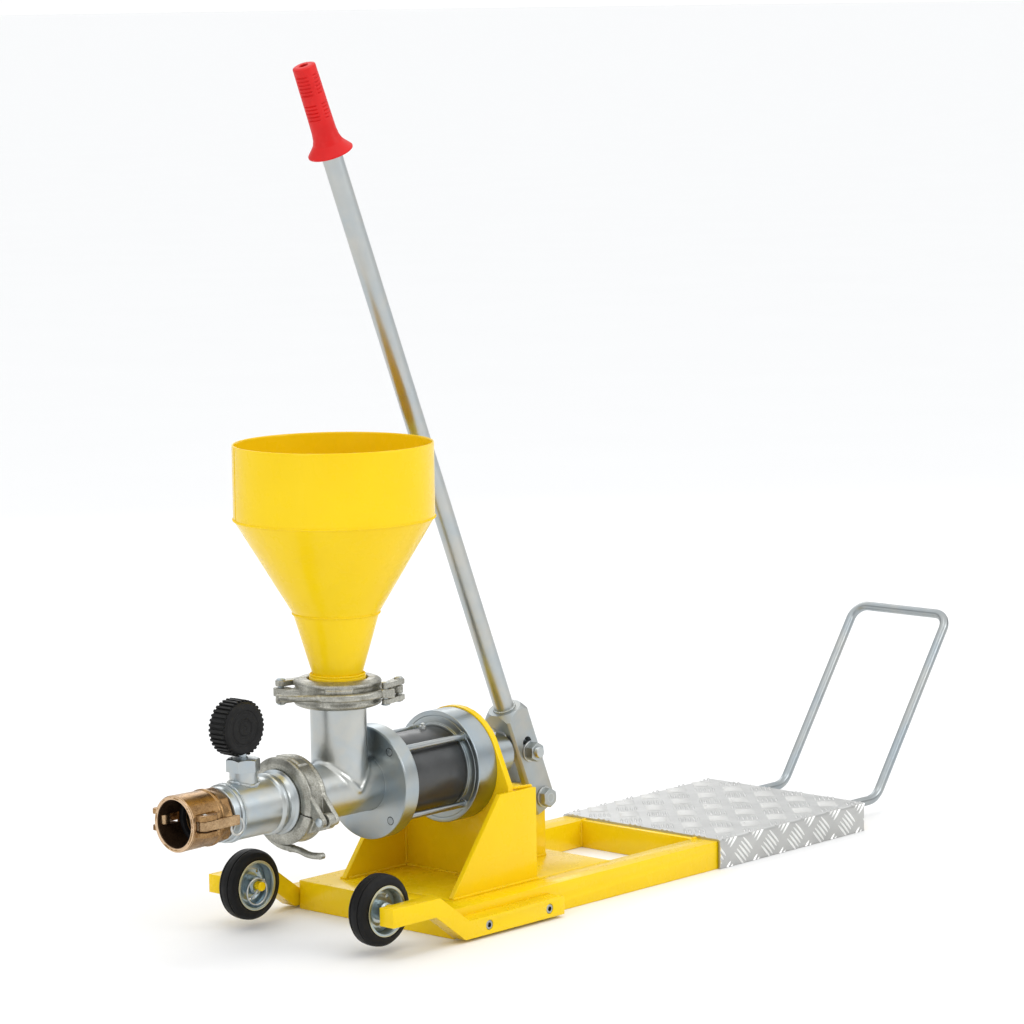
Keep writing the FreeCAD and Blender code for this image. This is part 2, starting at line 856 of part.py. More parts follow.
def tie_rod_spots():
    """Across and up offsets of the four tie rods from the pump axis."""
    offset = "tie_rod_circle * cos(45)"
    return [("%d * %s" % (across, offset), "%d * %s" % (up, offset))
            for across in (-1, 1) for up in (-1, 1)]


def make_flanges():
    owner = new_body()
    bore = "pipe_radius - pipe_wall"
    seat = "cylinder_radius + seat_gap"
    points = [
        ("front_flange_front", bore),
        ("front_flange_rear - seat_depth", bore),
        ("front_flange_rear - seat_depth", seat),
        ("front_flange_rear", seat),
        ("front_flange_rear", "flange_radius"),
        ("front_flange_front + 1", "flange_radius"),
        ("front_flange_front", "flange_radius - 1")]
    turned(owner, draw(owner, "XZ_Plane", points), "H_Axis")
    place(owner, ("0", "0", "pump_z"))
    holes = [
        rod(("front_flange_front - 5", across, "pump_z + " + up), "x",
            "tie_rod_radius + tie_rod_gap", "front_flange_rear - front_flange_front + 10")
        for across, up in tie_rod_spots()]
    node(cut(owner, holes), "front_flange")

    owner = new_body()
    shoulder = "rear_flange_front - seat_depth"
    points = [
        (shoulder, seat),
        (shoulder, "shoulder_radius"),
        ("rear_flange_front", "shoulder_radius"),
        ("rear_flange_front", "flange_radius - 1"),
        ("rear_flange_front + 1", "flange_radius"),
        ("plate_front", "flange_radius"),
        ("plate_front", "guide_spigot_radius"),
        ("rear_flange_front + seat_depth", "guide_spigot_radius"),
        ("rear_flange_front + seat_depth", seat)]
    turned(owner, draw(owner, "XZ_Plane", points), "H_Axis")
    place(owner, ("0", "0", "pump_z"))
    holes = [
        rod(("rear_flange_front - 1 + 1", across, "pump_z + " + up), "x",
            "tie_rod_radius + tie_rod_gap", "tie_rod_depth")
        for across, up in tie_rod_spots()]
    node(cut(owner, holes), "rear_flange")


def make_cylinder():
    owner = new_body()
    start = "front_flange_rear - seat_depth"
    end = "rear_flange_front + seat_depth"
    points = [
        (start, "cylinder_bore"), (end, "cylinder_bore"),
        (end, "cylinder_radius"), (start, "cylinder_radius")]
    turned(owner, draw(owner, "XZ_Plane", points), "H_Axis")
    place(owner, ("0", "0", "pump_z"))
    node(owner, "cylinder_tube")
    start = "front_flange_front - tie_rod_proud"
    length = "rear_flange_front + tie_rod_depth - (%s)" % start
    rods = [
        rod((start, across, "pump_z + " + up), "x", "tie_rod_radius", length)
        for across, up in tie_rod_spots()]
    node(group(rods), "tie_rods")


def make_rod_guide():
    owner = new_body()
    start = "plate_front + plate_thick"
    running = "rod_radius + rod_running_gap"
    groove = "guide_end - wiper_length"
    points = [
        ("guide_spigot_front", "guide_relief_radius"),
        ("guide_spigot_front", "guide_spigot_radius"),
        (start, "guide_spigot_radius"),
        (start, "guide_radius"),
        ("guide_end - guide_chamfer", "guide_radius"),
        ("guide_end", "guide_radius - guide_chamfer"),
        ("guide_end", "wiper_radius"),
        (groove, "wiper_radius"),
        (groove, running),
        (start, running),
        (start, "guide_relief_radius")]
    turned(owner, draw(owner, "XZ_Plane", points), "H_Axis")
    place(owner, ("0", "0", "pump_z"))
    node(owner, "rod_guide")
    owner = new_body()
    points = [
        (groove, running), (groove, "wiper_radius"), ("guide_end", "wiper_radius"),
        ("guide_end + 1.5", "wiper_radius - 3"), ("guide_end + 1.5", running)]
    turned(owner, draw(owner, "XZ_Plane", points), "H_Axis")
    place(owner, ("0", "0", "pump_z"))
    node(owner, "rod_wiper")


def make_nipples():
    """Grease nipples on the cylinder and on the rod guide."""
    nipples = []
    for spot, surface in (("nipple_front_x", "cylinder_radius"),
                          ("nipple_rear_x", "guide_radius")):
        foot = "pump_z + " + surface
        base = prism((spot, "0", foot), "z", 6, "2 * nipple_radius + 2", "nipple_height / 2")
        neck = rod((spot, "0", foot), "z", "nipple_radius - 0.8", "nipple_height - 2")
        head = rod((spot, "0", foot + " + nipple_height - 2.5"), "z", "nipple_radius", "2.5")
        nipples.append(join([base, neck, head]))
    node(group(nipples), "grease_nipples")


def make_piston():
    owner = new_body()
    body_radius = "cylinder_bore - piston_gap"
    end = "piston_front + piston_length"
    first = "piston_front + 7"
    second = "piston_front + 24"
    points = [("piston_front", "0"), ("piston_front", body_radius)]
    for groove in (first, second):
        points += [
            (groove, body_radius),
            (groove, "seal_groove_radius"),
            (groove + " + seal_width", "seal_groove_radius"),
            (groove + " + seal_width", body_radius)]
    points += [(end, body_radius), (end, "rod_radius"),
               ("piston_front + 12", "rod_radius"), ("piston_front + 12", "0")]
    turned(owner, draw(owner, "XZ_Plane", points), "H_Axis")
    place(owner, ("0", "0", "pump_z"))
    node(owner, "piston_head")

    seals = []
    for groove in (first, second):
        owner = new_body()
        points = [
            (groove, "seal_groove_radius"),
            (groove, "cylinder_bore - seal_gap"),
            (groove + " + seal_width", "cylinder_bore - seal_gap"),
            (groove + " + seal_width", "seal_groove_radius")]
        turned(owner, draw(owner, "XZ_Plane", points), "H_Axis")
        place(owner, ("0", "0", "pump_z"))
        seals.append(owner)
    node(group(seals), "piston_seals")

    shank = rod(("piston_front + 12", "0", "pump_z"), "x", "rod_radius",
                "rod_pin_x - rod_end_front - piston_front - 12")
    end_block = box(
        ("rod_pin_x - rod_end_front", "-rod_end_width / 2", "pump_z - rod_end_half_height"),
        ("rod_end_front + rod_end_rear", "rod_end_width", "2 * rod_end_half_height"))
    bore = rod(("rod_pin_x", "-rod_end_width", "pump_z"), "y", "bolt_radius",
               "2 * rod_end_width")
    node(cut(join([shank, end_block]), [bore]), "piston_rod")


# Hand lever

def bolt_set(x, z, nut_near):
    """Hexagon bolt along Y with its nut and two washers, centred on the lever fork."""
    face = "fork_thick / 2 + washer_gap"
    seat = face + " + washer_thick"
    reach = "2 * (%s) + nut_height + 5" % seat
    if nut_near:
        head_start = seat
        shank_start = "-(%s) - nut_height - 5" % seat
        nut_start = "-(%s) - nut_height" % seat
    else:
        head_start = "-(%s) - bolt_head_height" % seat
        shank_start = "-(%s)" % seat
        nut_start = seat
    shank = rod((x, shank_start, z), "y", "bolt_radius", reach)
    head = prism((x, head_start, z), "y", 6, "bolt_flats", "bolt_head_height")
    nut = cut(
        prism((x, nut_start, z), "y", 6, "bolt_flats", "nut_height"),
        [rod((x, nut_start, z), "y", "bolt_radius", "nut_height")])
    washers = []
    for start in (face, "-(%s)" % seat):
        ring = rod((x, start, z), "y", "washer_radius", "washer_thick")
        washers.append(cut(ring, [rod((x, start, z), "y", "bolt_radius", "washer_thick")]))
    return group([join([shank, head]), nut] + washers)


def lever_place(item):
    lean = FreeCAD.Rotation(FreeCAD.Vector(0, -1, 0), amount("lever_lean"))
    place(item, ("pivot_x", "0", "pivot_z"), lean)
    bind(item, "Placement.Rotation.Angle", "lever_lean")
    return item


def make_fork():
    """Forked lever foot, drawn upright from the pivot and then leaned forwards."""
    owner = new_body()
    points = [
        ("-fork_half_width", "-fork_foot"), ("fork_half_width", "-fork_foot"),
        ("fork_half_width", "fork_top"), ("-fork_half_width", "fork_top")]
    block = pad(owner, draw(owner, "XZ_Plane", points), "fork_thick", both=True)

    bevel(owner, block, lambda edge: edge.BoundBox.ZLength > amount("fork_top / 2"),
          "fork_chamfer")
    half_gap = "fork_gap / 2"
    gap = draw(owner, "YZ_Plane", [
        ("-" + half_gap, "-2 * fork_foot"), (half_gap, "-2 * fork_foot"),
        (half_gap, "fork_gap_top - fork_gap / 2"), ("0", "fork_gap_top"),
        ("-" + half_gap, "fork_gap_top - fork_gap / 2")],
        {2: (half_gap, "left"), 3: (half_gap, "left")})
    pocket(owner, gap, "2 * fork_half_width + 2", both=True)
    half_slot = "(bolt_radius + slot_play / 2)"
    slot = draw(owner, "XZ_Plane", [
        (half_slot, "slot_low"), (half_slot, "slot_high"), ("0", "slot_high + " + half_slot),
        ("-" + half_slot, "slot_high"), ("-" + half_slot, "slot_low"),
        ("0", "slot_low - " + half_slot)],
        {1: (half_slot, "left"), 2: (half_slot, "left"),
         4: (half_slot, "left"), 5: (half_slot, "left")})
    pocket(owner, slot, "fork_thick + 2", both=True)
    bore = draw_circles(owner, "XZ_Plane", [("0", "0", "bolt_radius + bolt_running_gap")])
    pocket(owner, bore, "fork_thick + 2", both=True)
    socket = rod(("0", "0", "tube_start"), "z", "tube_radius", "fork_top - tube_start + 1")
    node(lever_place(cut(owner, [socket])), "lever_fork")


def make_lever_tube():
    length = "grip_end - grip_cap - tube_start"
    outer = rod(("0", "0", "tube_start"), "z", "tube_radius", length)
    inner = rod(("0", "0", "tube_start"), "z", "tube_radius - tube_wall", length)
    node(lever_place(cut(outer, [inner])), "lever_tube")
    owner = new_body()
    points = [
        ("tube_radius", "grip_start"),
        ("grip_collar_radius", "grip_start"),
        ("grip_collar_radius", "grip_start + 3"),
        ("grip_radius + 5.5", "grip_start + 10"),
        ("grip_radius + 1", "grip_start + 20"),
        ("grip_radius", "grip_start + 34"),
        ("grip_tip_radius", "grip_end - 3"),
        ("grip_tip_radius - 3", "grip_end"),
        ("5", "grip_end"),
        ("5", "grip_end - grip_cap"),
        ("tube_radius", "grip_end - grip_cap")]
    turned(owner, draw(owner, "XZ_Plane", points), "V_Axis")
    node(lever_place(owner), "lever_grip")


# Pipes and hopper

def make_tee():
    """Straight pipe with a branch: outer shapes joined first, then both bores cut."""
    collar_x = "outlet_clamp_x + seal_thick / 2"
    collar_z = "hopper_clamp_z - seal_thick / 2 - collar_length"
    run = rod((collar_x, "0", "pump_z"), "x", "pipe_radius",
              "front_flange_front - (%s)" % collar_x)
    branch = rod(("hopper_x", "0", "pump_z"), "z", "pipe_radius",
                 collar_z + " + collar_length - pump_z")
    run_collar = rod((collar_x, "0", "pump_z"), "x", "collar_radius", "collar_length")
    branch_collar = rod(("hopper_x", "0", collar_z), "z", "collar_radius", "collar_length")
    bore = "pipe_radius - pipe_wall"
    run_bore = rod((collar_x, "0", "pump_z"), "x", bore,
                   "front_flange_front - (%s)" % collar_x)
    branch_bore = rod(("hopper_x", "0", "pump_z"), "z", bore,
                      collar_z + " + collar_length - pump_z")
    outside = join([run, branch, run_collar, branch_collar])
    node(cut(outside, [run_bore, branch_bore]), "tee_pipe")


def valve_cage():
    """Seat ring, four guide ribs and a stop ring for a ball, drawn along minus Z from zero."""
    bore = "pipe_radius - pipe_wall"
    ball_up = "sqrt(ball_radius ^ 2 - valve_hole_radius ^ 2)"
    ball_down = "sqrt(ball_radius ^ 2 - valve_stop_radius ^ 2)"
    room = "(%s + %s + valve_travel + 2 * valve_gap)" % (ball_up, ball_down)
    total = "valve_seat_thick + %s + valve_stop_thick" % room
    sleeve = cut(
        rod(("0", "0", "-(%s)" % total), "z", bore, total),
        [rod(("0", "0", "-valve_seat_thick - " + room), "z", "ball_radius + 0.5", room),
         rod(("0", "0", "-valve_seat_thick - 1"), "z", "valve_hole_radius",
             "valve_seat_thick + 2"),
         rod(("0", "0", "-(%s) - 1" % total), "z", "valve_stop_radius",
             "valve_stop_thick + 2")])
    windows = []
    wide = "pipe_radius - valve_rib_width / 2"
    for across in (-1, 1):
        for up in (-1, 1):
            low_x = "valve_rib_width / 2" if across > 0 else "-pipe_radius"
            low_y = "valve_rib_width / 2" if up > 0 else "-pipe_radius"
            windows.append(box((low_x, low_y, "-valve_seat_thick - " + room),
                               (wide, wide, room)))
    return cut(sleeve, windows)


def make_valves():
    inlet = valve_cage()
    place(inlet, ("hopper_x", "0", "hopper_clamp_z - seal_thick / 2"))
    outlet = valve_cage()
    place(outlet, ("outlet_clamp_x - seal_thick / 2", "0", "pump_z"), along("x"))
    node(group([inlet, outlet]), "valve_cages")
    drop = "(sqrt(ball_radius ^ 2 - valve_hole_radius ^ 2) + valve_gap)"
    inlet_z = "hopper_clamp_z - seal_thick / 2 - valve_seat_thick - %s - valve_travel" % drop
    node(ball(("hopper_x", "0", inlet_z), "ball_radius"), "inlet_ball")
    outlet_x = "outlet_clamp_x - seal_thick / 2 - valve_seat_thick - " + drop
    node(ball((outlet_x, "0", "pump_z"), "ball_radius"), "outlet_ball")


def make_hopper():
    owner = new_body()
    foot = "hopper_clamp_z + seal_thick / 2"
    points = [
        ("spout_neck_radius - spout_wall", foot),
        ("collar_radius", foot),
        ("collar_radius", foot + " + collar_length"),
        ("pipe_radius", foot + " + collar_length"),
        ("pipe_radius", "spout_neck_z - 1"),
        ("spout_neck_radius", "spout_neck_z"),
        ("bowl_neck_radius", "bowl_neck_z"),
        ("bowl_neck_radius - spout_wall", "bowl_neck_z"),
        ("spout_neck_radius - spout_wall", "spout_neck_z")]
    turned(owner, draw(owner, "XZ_Plane", points), "V_Axis")
    place(owner, ("hopper_x", "0", "0"))
    node(owner, "hopper_spout")
    owner = new_body()
    points = [
        ("bowl_neck_radius - spout_wall", "bowl_neck_z"),
        ("bowl_neck_radius", "bowl_neck_z"),
        ("bowl_radius", "bowl_band_z"),
        ("bowl_radius", "bowl_top"),
        ("bowl_radius - spout_wall", "bowl_top"),
        ("bowl_radius - spout_wall", "bowl_band_z + 0.7")]
    turned(owner, draw(owner, "XZ_Plane", points), "V_Axis")
    place(owner, ("hopper_x", "0", "0"))
    node(owner, "hopper_bowl")


# Clamp couplings

def clamp_shell(groove_half):
    """Half ring with an inner groove, swept half a turn from plus X over plus Y."""
    owner = new_body()
    points = [
        ("clamp_lip_radius", "-clamp_half_width"),
        ("clamp_radius - clamp_edge", "-clamp_half_width"),
        ("clamp_radius", "-clamp_half_width + clamp_edge"),
        ("clamp_radius", "clamp_half_width - clamp_edge"),
        ("clamp_radius - clamp_edge", "clamp_half_width"),
        ("clamp_lip_radius", "clamp_half_width"),
        ("clamp_lip_radius", groove_half),
        ("clamp_groove_radius", groove_half),
        ("clamp_groove_radius", "-(%s)" % groove_half),
        ("clamp_lip_radius", "-(%s)" % groove_half)]
    turned(owner, draw(owner, "XZ_Plane", points), "V_Axis", "180")
    return owner


def make_clamp(prefix, spot, turn, pins):
    """Two cast half rings on a hinge pin, closed by a toggle lever that wraps round them."""
    hinge = "-clamp_hinge_x"
    span = "clamp_ear_outer - clamp_knuckle_half - clamp_knuckle_gap"
    whole = "2 * clamp_ear_outer"
    groove = "collar_length + seal_thick / 2"

    ears = []
    for low in ("clamp_knuckle_half + clamp_knuckle_gap", "-clamp_ear_outer"):
        ears.append(rod((hinge, "0", low), "z", "clamp_knuckle_radius", span))
        ears.append(box((hinge, "0", low), ("clamp_hinge_x - clamp_radius + clamp_root",
                                            "clamp_knuckle_radius", span)))
    toggle_ear = slab(
        ("clamp_radius - clamp_root", "clamp_catch_gap", "-clamp_eye_half"),
        ("clamp_toggle_x", "clamp_toggle_y + clamp_eye_radius", "clamp_eye_half"))
    toggle_round = rod(("clamp_toggle_x", "clamp_toggle_y", "-clamp_eye_half"), "z",
                       "clamp_eye_radius", "2 * clamp_eye_half")
    pin_hole = rod((hinge, "0", "-clamp_ear_outer"), "z", "clamp_pin_radius", whole)
    toggle_hole = rod(("clamp_toggle_x", "clamp_toggle_y", "-clamp_ear_outer"), "z",
                      "clamp_pin_radius", whole)
    fixed = join([clamp_shell(groove)] + ears + [toggle_ear, toggle_round])
    fixed = cut(fixed, [pin_hole, toggle_hole])
    node(place(fixed, spot, turn), prefix + "_clamp_fixed_half")

    shell = clamp_shell(groove + " + clamp_play")
    shell.Placement = FreeCAD.Placement(
        FreeCAD.Vector(0, 0, 0), FreeCAD.Rotation(FreeCAD.Vector(0, 0, 1), 180))
    knuckle = rod((hinge, "0", "-clamp_knuckle_half"), "z", "clamp_knuckle_radius",
                  "2 * clamp_knuckle_half")
    knuckle_web = slab(
        (hinge, "-clamp_knuckle_radius", "-clamp_knuckle_half"),
        ("-clamp_radius + clamp_root", "-clamp_split", "clamp_knuckle_half"))
    catch = slab(
        ("clamp_radius - clamp_root", "-clamp_catch_reach", "-clamp_eye_half"),
        ("clamp_toggle_x + clamp_catch_end", "-clamp_catch_gap", "clamp_eye_half"))
    split = slab(("-clamp_radius - clamp_split", "-clamp_split", "-clamp_half_width - 1"),
                 ("clamp_radius + clamp_root", "clamp_root", "clamp_half_width + 1"))
    loose_hole = rod((hinge, "0", "-clamp_ear_outer"), "z",
                     "clamp_pin_radius + clamp_pin_gap", whole)
    swing = cut(join([shell, knuckle_web, catch]), [split])
    swing = cut(join([swing, knuckle]), [loose_hole])
    node(place(swing, spot, turn), prefix + "_clamp_swing_half")

    cheeks = []
    thick = "clamp_cheek_outer - clamp_cheek_inner"
    for low in ("clamp_cheek_inner", "-clamp_cheek_outer"):
        cheeks.append(box(
            ("clamp_toggle_x - clamp_cheek_half", "-clamp_cheek_reach", low),
            ("2 * clamp_cheek_half", "clamp_toggle_y + clamp_cheek_reach", thick)))
        cheeks.append(rod(("clamp_toggle_x", "clamp_toggle_y", low), "z",
                          "clamp_cheek_round", thick))
    claw = slab(
        ("clamp_radius + clamp_catch_gap", "-clamp_claw_start - clamp_claw_depth",
         "-clamp_cheek_outer"),
        ("clamp_toggle_x + clamp_cheek_half", "-clamp_claw_start", "clamp_cheek_outer"))
    bar = torus(("0", "0", "0"), "z", "clamp_bar_circle", "clamp_bar_radius")
    bind(bar, "Angle3", "clamp_bar_angle")
    bar.Placement = FreeCAD.Placement(
        FreeCAD.Vector(0, 0, 0),
        FreeCAD.Rotation(FreeCAD.Vector(0, 0, 1), -amount("clamp_bar_end")))
    end_x = "clamp_bar_circle * cos(clamp_bar_end)"
    end_y = "-clamp_bar_circle * sin(clamp_bar_end)"
    knee = ball((end_x, end_y, "0"), "clamp_bar_radius")
    outward = FreeCAD.Rotation(FreeCAD.Vector(0, 0, 1), FreeCAD.Vector(-0.985, 0.17, 0))
    tail = rod((end_x, end_y, "0"), "z", "clamp_bar_radius - 0.5", "clamp_tail")
    tail.Placement = FreeCAD.Placement(tail.Placement.Base, outward)
    lever = join(cheeks + [claw, bar, knee, tail])
    loose = rod(("clamp_toggle_x", "clamp_toggle_y", "-clamp_ear_outer"), "z",
                "clamp_pin_radius + clamp_pin_gap", whole)
    node(place(cut(lever, [loose]), spot, turn), prefix + "_clamp_lever")

    ends = (
        (hinge, "0", "clamp_ear_outer + clamp_pin_end_gap"),
        ("clamp_toggle_x", "clamp_toggle_y", "clamp_cheek_outer + clamp_pin_end_gap"))
    for x, y, half in ends:
        shank = rod((x, y, "-(%s)" % half), "z", "clamp_pin_radius", "2 * (%s)" % half)
        heads = [
            rod((x, y, start), "z", "clamp_pin_head", "clamp_pin_head_height")
            for start in (half, "-(%s) - clamp_pin_head_height" % half)]
        pins.append(place(join([shank] + heads), spot, turn))


def make_clamps():
    pins = []
    upright = FreeCAD.Rotation(FreeCAD.Vector(0, 0, 1), amount("clamp_turn"))
    make_clamp("hopper", ("hopper_x", "0", "hopper_clamp_z"), upright, pins)
    across = FreeCAD.Rotation(FreeCAD.Vector(1, 1, 1), 120)
    tilt = FreeCAD.Rotation(FreeCAD.Vector(0, 0, 1), amount("outlet_clamp_tilt"))
    make_clamp("outlet", ("outlet_clamp_x", "0", "pump_z"), across.multiply(tilt), pins)
    node(group(pins), "clamp_pins")
    seals = []
    for spot, direction in (
            (("hopper_x", "0", "hopper_clamp_z - seal_thick / 2"), "z"),
            (("outlet_clamp_x - seal_thick / 2", "0", "pump_z"), "x")):
        ring = rod(spot, direction, "collar_radius", "seal_thick")
        hole = rod(spot, direction, "pipe_radius - pipe_wall", "seal_thick")
        seals.append(cut(ring, [hole]))
    node(group(seals), "clamp_seals")


# Outlet pipe, gauge and cam lever coupling

def make_outlet():
    start = "outlet_clamp_x - seal_thick / 2"
    owner = new_body()
    bore = "pipe_radius - pipe_wall"
    points = [
        (start, bore),
        (start, "collar_radius"),
        (start + " - collar_length", "collar_radius"),
        (start + " - collar_length", "pipe_radius"),
        ("outlet_bead_rear", "pipe_radius"),
        ("outlet_bead_rear - 1.5", "outlet_neck_radius"),
        ("outlet_bead_front + 1.5", "outlet_neck_radius"),
        ("outlet_bead_front", "pipe_radius"),
        ("outlet_ring_front + 5", "pipe_radius"),
        ("outlet_ring_front + 5", "outlet_ring_radius"),
        ("outlet_ring_front", "outlet_ring_radius"),
        ("outlet_ring_front", "pipe_radius - 1.5"),
        ("outlet_pipe_end", "pipe_radius - 1.5"),
        ("outlet_pipe_end", "thread_radius"),
        ("outlet_end", "thread_radius"),
        ("outlet_end", "thread_radius - 4"),
        ("outlet_pipe_end", "thread_radius - 4"),
        ("outlet_pipe_end + 20", bore)]
    turned(owner, draw(owner, "XZ_Plane", points), "H_Axis")
    place(owner, ("0", "0", "pump_z"))
    boss = rod(("boss_x", "0", "pump_z + pipe_radius - 8"), "z", "boss_radius",
               "boss_hex_z - pump_z - pipe_radius + 8")
    nut = prism(("boss_x", "0", "boss_hex_z"), "z", 6, "boss_hex_flats", "boss_top - boss_hex_z")
    stem_bore = rod(("boss_x", "0", "stem_bottom"), "z", "stem_radius", "20")
    feed = rod(("boss_x", "0", "pump_z"), "z", "4", "stem_bottom - pump_z + 1")
    inside = rod(("boss_x - 30", "0", "pump_z"), "x", bore, "60")
    inside_block = cut(join([boss, nut]), [inside])
    node(cut(join([owner, inside_block]), [stem_bore, feed]), "outlet_body")


def make_gauge():
    """Bottom entry gauge in a rubber guard, with its dial facing plus Y."""
    guard = rod(("boss_x", "gauge_back", "gauge_z"), "y", "guard_radius",
                "gauge_front - gauge_back")
    inside = rod(("boss_x", "gauge_back + guard_wall", "gauge_z"), "y", "case_radius",
                 "gauge_front - gauge_back")
    stem_gap = rod(("boss_x", "0", "gauge_z - guard_radius - 2"), "z",
                   "stem_radius + 2.5", "guard_radius - case_radius + 7")
    node(cut(guard, [inside, stem_gap]), "gauge_guard")
    case = rod(("boss_x", "gauge_back + guard_wall", "gauge_z"), "y", "case_radius",
               "gauge_front - gauge_back - guard_wall - 2")
    recess = rod(("boss_x", "dial_y", "gauge_z"), "y", "dial_radius", "30")
    spindle = rod(("boss_x", "dial_y - 1", "gauge_z"), "y", "1.2", "4.5")
    flats = box(("boss_x - 6", "-6", "boss_top + 1"),
                ("12", "12", "gauge_z - boss_top - case_radius + 3"))
    stem = rod(("boss_x", "0", "stem_bottom"), "z", "stem_radius", "boss_top + 2 - stem_bottom")
    node(join([cut(case, [recess]), spindle, flats, stem]), "gauge_case")
    lens_start = "gauge_front - 4"
    node(rod(("boss_x", lens_start, "gauge_z"), "y", "dial_radius", "2"), "gauge_lens")
    pointer = slab(("boss_x - 1", "dial_y + 0.6", "gauge_z - needle_length"),
                   ("boss_x + 1", "dial_y + 1.6", "gauge_z"))
    tail = slab(("boss_x - 1.5", "dial_y + 0.6", "gauge_z"),
                ("boss_x + 1.5", "dial_y + 1.6", "gauge_z + 8"))
    boss = rod(("boss_x", "dial_y + 0.6", "gauge_z"), "y", "3", "2")
    hole = rod(("boss_x", "dial_y", "gauge_z"), "y", "1.25", "6")
    node(cut(join([pointer, tail, boss]), [hole]), "gauge_needle")


def make_coupler():
    """Cast cam lever coupling: socket with two slotted lever seats and an octagon end."""
    owner = new_body()
    seat_end = "mouth_depth + gasket_length"
    seat_radius = "mouth_bore + 3"
    throat = "mouth_bore - 5"
    points = [
        ("0", "mouth_bore"),
        ("0", "coupler_radius - 1"),
        ("1", "coupler_radius"),
        ("coupler_octagon_start", "coupler_radius - 1"),
        ("coupler_length", "coupler_radius - 3"),
        ("coupler_length", "thread_radius"),
        ("coupler_length - coupler_thread_depth", "thread_radius"),
        ("coupler_length - coupler_thread_depth", throat),
        (seat_end, throat),
        (seat_end, seat_radius),
        ("mouth_depth", seat_radius),
        ("mouth_depth", "mouth_bore")]
    turned(owner, draw(owner, "XZ_Plane", points), "H_Axis")
    octagon = cut(
        prism(("coupler_octagon_start", "0", "0"), "x", 8, "coupler_flats",
              "coupler_length - coupler_octagon_start - 1"),
        [rod(("coupler_octagon_start - 1", "0", "0"), "x", "coupler_radius - 4",
             "coupler_length")])
    bodies = [owner, octagon]
    slots = []
    slot_start = "cam_pin_x - cam_radius - cam_throw - cam_slot_gap"
    slot_length = "cam_radius + cam_throw + cam_slot_gap + cam_slot_reach"
    for side in (-1, 1):
        for low in ("cam_slot_half", "-cam_lug_half"):
            low_y = "coupler_radius - 6" if side > 0 else "-cam_pin_y - 5"
            bodies.append(box(
                (slot_start + " + 2", low_y, low),
                (slot_length + " - 2", "cam_pin_y + 11 - coupler_radius",
                 "cam_lug_half - cam_slot_half")))
        slot_y = "mouth_bore - 6" if side > 0 else "-cam_pin_y - 12"
        slots.append(box(
            (slot_start, slot_y, "-cam_slot_half"),
            (slot_length, "cam_pin_y + 18 - mouth_bore", "2 * cam_slot_half")))
        slots.append(rod(("cam_pin_x", "%d * cam_pin_y" % side, "-20"), "z",
                         "cam_pin_radius", "40"))
    socket = rod(("-1", "0", "0"), "x", "mouth_bore", "mouth_depth + 1")
    body = cut(join(bodies), slots + [socket])
    node(place(body, ("mouth_x", "0", "pump_z")), "coupler_body")

    gasket = cut(
        rod(("mouth_x + mouth_depth", "0", "pump_z"), "x", seat_radius, "gasket_length"),
        [rod(("mouth_x + mouth_depth", "0", "pump_z"), "x", throat, "gasket_length")])
    node(gasket, "coupler_gasket")

    for label, side in (("coupler_lever_near", -1), ("coupler_lever_far", 1)):
        pin_y = "%d * cam_pin_y" % side
        cam = rod(("cam_pin_x", "%d * (cam_pin_y - cam_throw)" % side, "-cam_half"), "z",
                  "cam_radius", "2 * cam_half")
        low_y = "cam_pin_y + 1" if side > 0 else "-cam_pin_y - 1 - cam_arm_thick"
        arm = box(("cam_pin_x", low_y, "-cam_half"),
                  ("cam_arm_end - cam_pin_x", "cam_arm_thick", "2 * cam_half"))
        hole = rod(("cam_pin_x", pin_y, "-20"), "z", "cam_pin_radius + 0.06", "40")
        eye_y = "%d * (cam_pin_y + 1 + cam_arm_thick / 2)" % side
        eye = box(("cam_eye_x - 2", eye_y + " - cam_ring_wire - 0.3", "-20"),
                  ("4.8", "2 * cam_ring_wire + 0.6", "40"))
        lever = cut(join([cam, arm]), [hole, eye])
        finger_ring = torus(("cam_eye_x + cam_ring_radius", eye_y, "0"), "y",
                            "cam_ring_radius", "cam_ring_wire")
        whole = group([lever, finger_ring])
        node(place(whole, ("mouth_x", "0", "pump_z")), label)

    pins = [
        rod(("mouth_x + cam_pin_x", "%d * cam_pin_y" % side, "pump_z - cam_lug_half"), "z",
            "cam_pin_radius", "2 * cam_lug_half")
        for side in (-1, 1)]
    node(group(pins), "coupler_pins")


make_frame()
make_bearing_plate()
make_gusset("gusset_near", -1)
make_gusset("gusset_far", 1)
make_shelf_and_lug()
make_arm("wheel_arm_near", -1)
make_arm("wheel_arm_far", 1)
make_arm_screws()
make_axles()
make_clips()
make_wheel("near", -1)
make_wheel("far", 1)
make_tread_plate()
make_tow_handle()
make_flanges()
make_cylinder()
make_rod_guide()
make_nipples()
make_piston()
node(bolt_set("pivot_x", "pivot_z", False), "pivot_bolt")
node(bolt_set("rod_pin_x", "pump_z", True), "cross_bolt")
make_fork()
make_lever_tube()
make_tee()
make_valves()
make_hopper()
make_clamps()
make_outlet()
make_gauge()
make_coupler()
doc.recompute()

for item in doc.Objects:
    if "Invalid" in item.State or "Error" in item.State:
        raise RuntimeError("feature did not build: " + item.Label)
for item in NODES:
    if item.Shape.isNull() or not item.Shape.isValid():
        raise RuntimeError("shape is not valid: " + item.Label)
    item.Shape.exportStep("parts/" + item.Label + ".step")
print(len(NODES), "nodes written")
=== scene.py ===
import math
from contextlib import contextmanager

import bmesh
import bpy
from mathutils import Matrix, Vector, geometry, noise


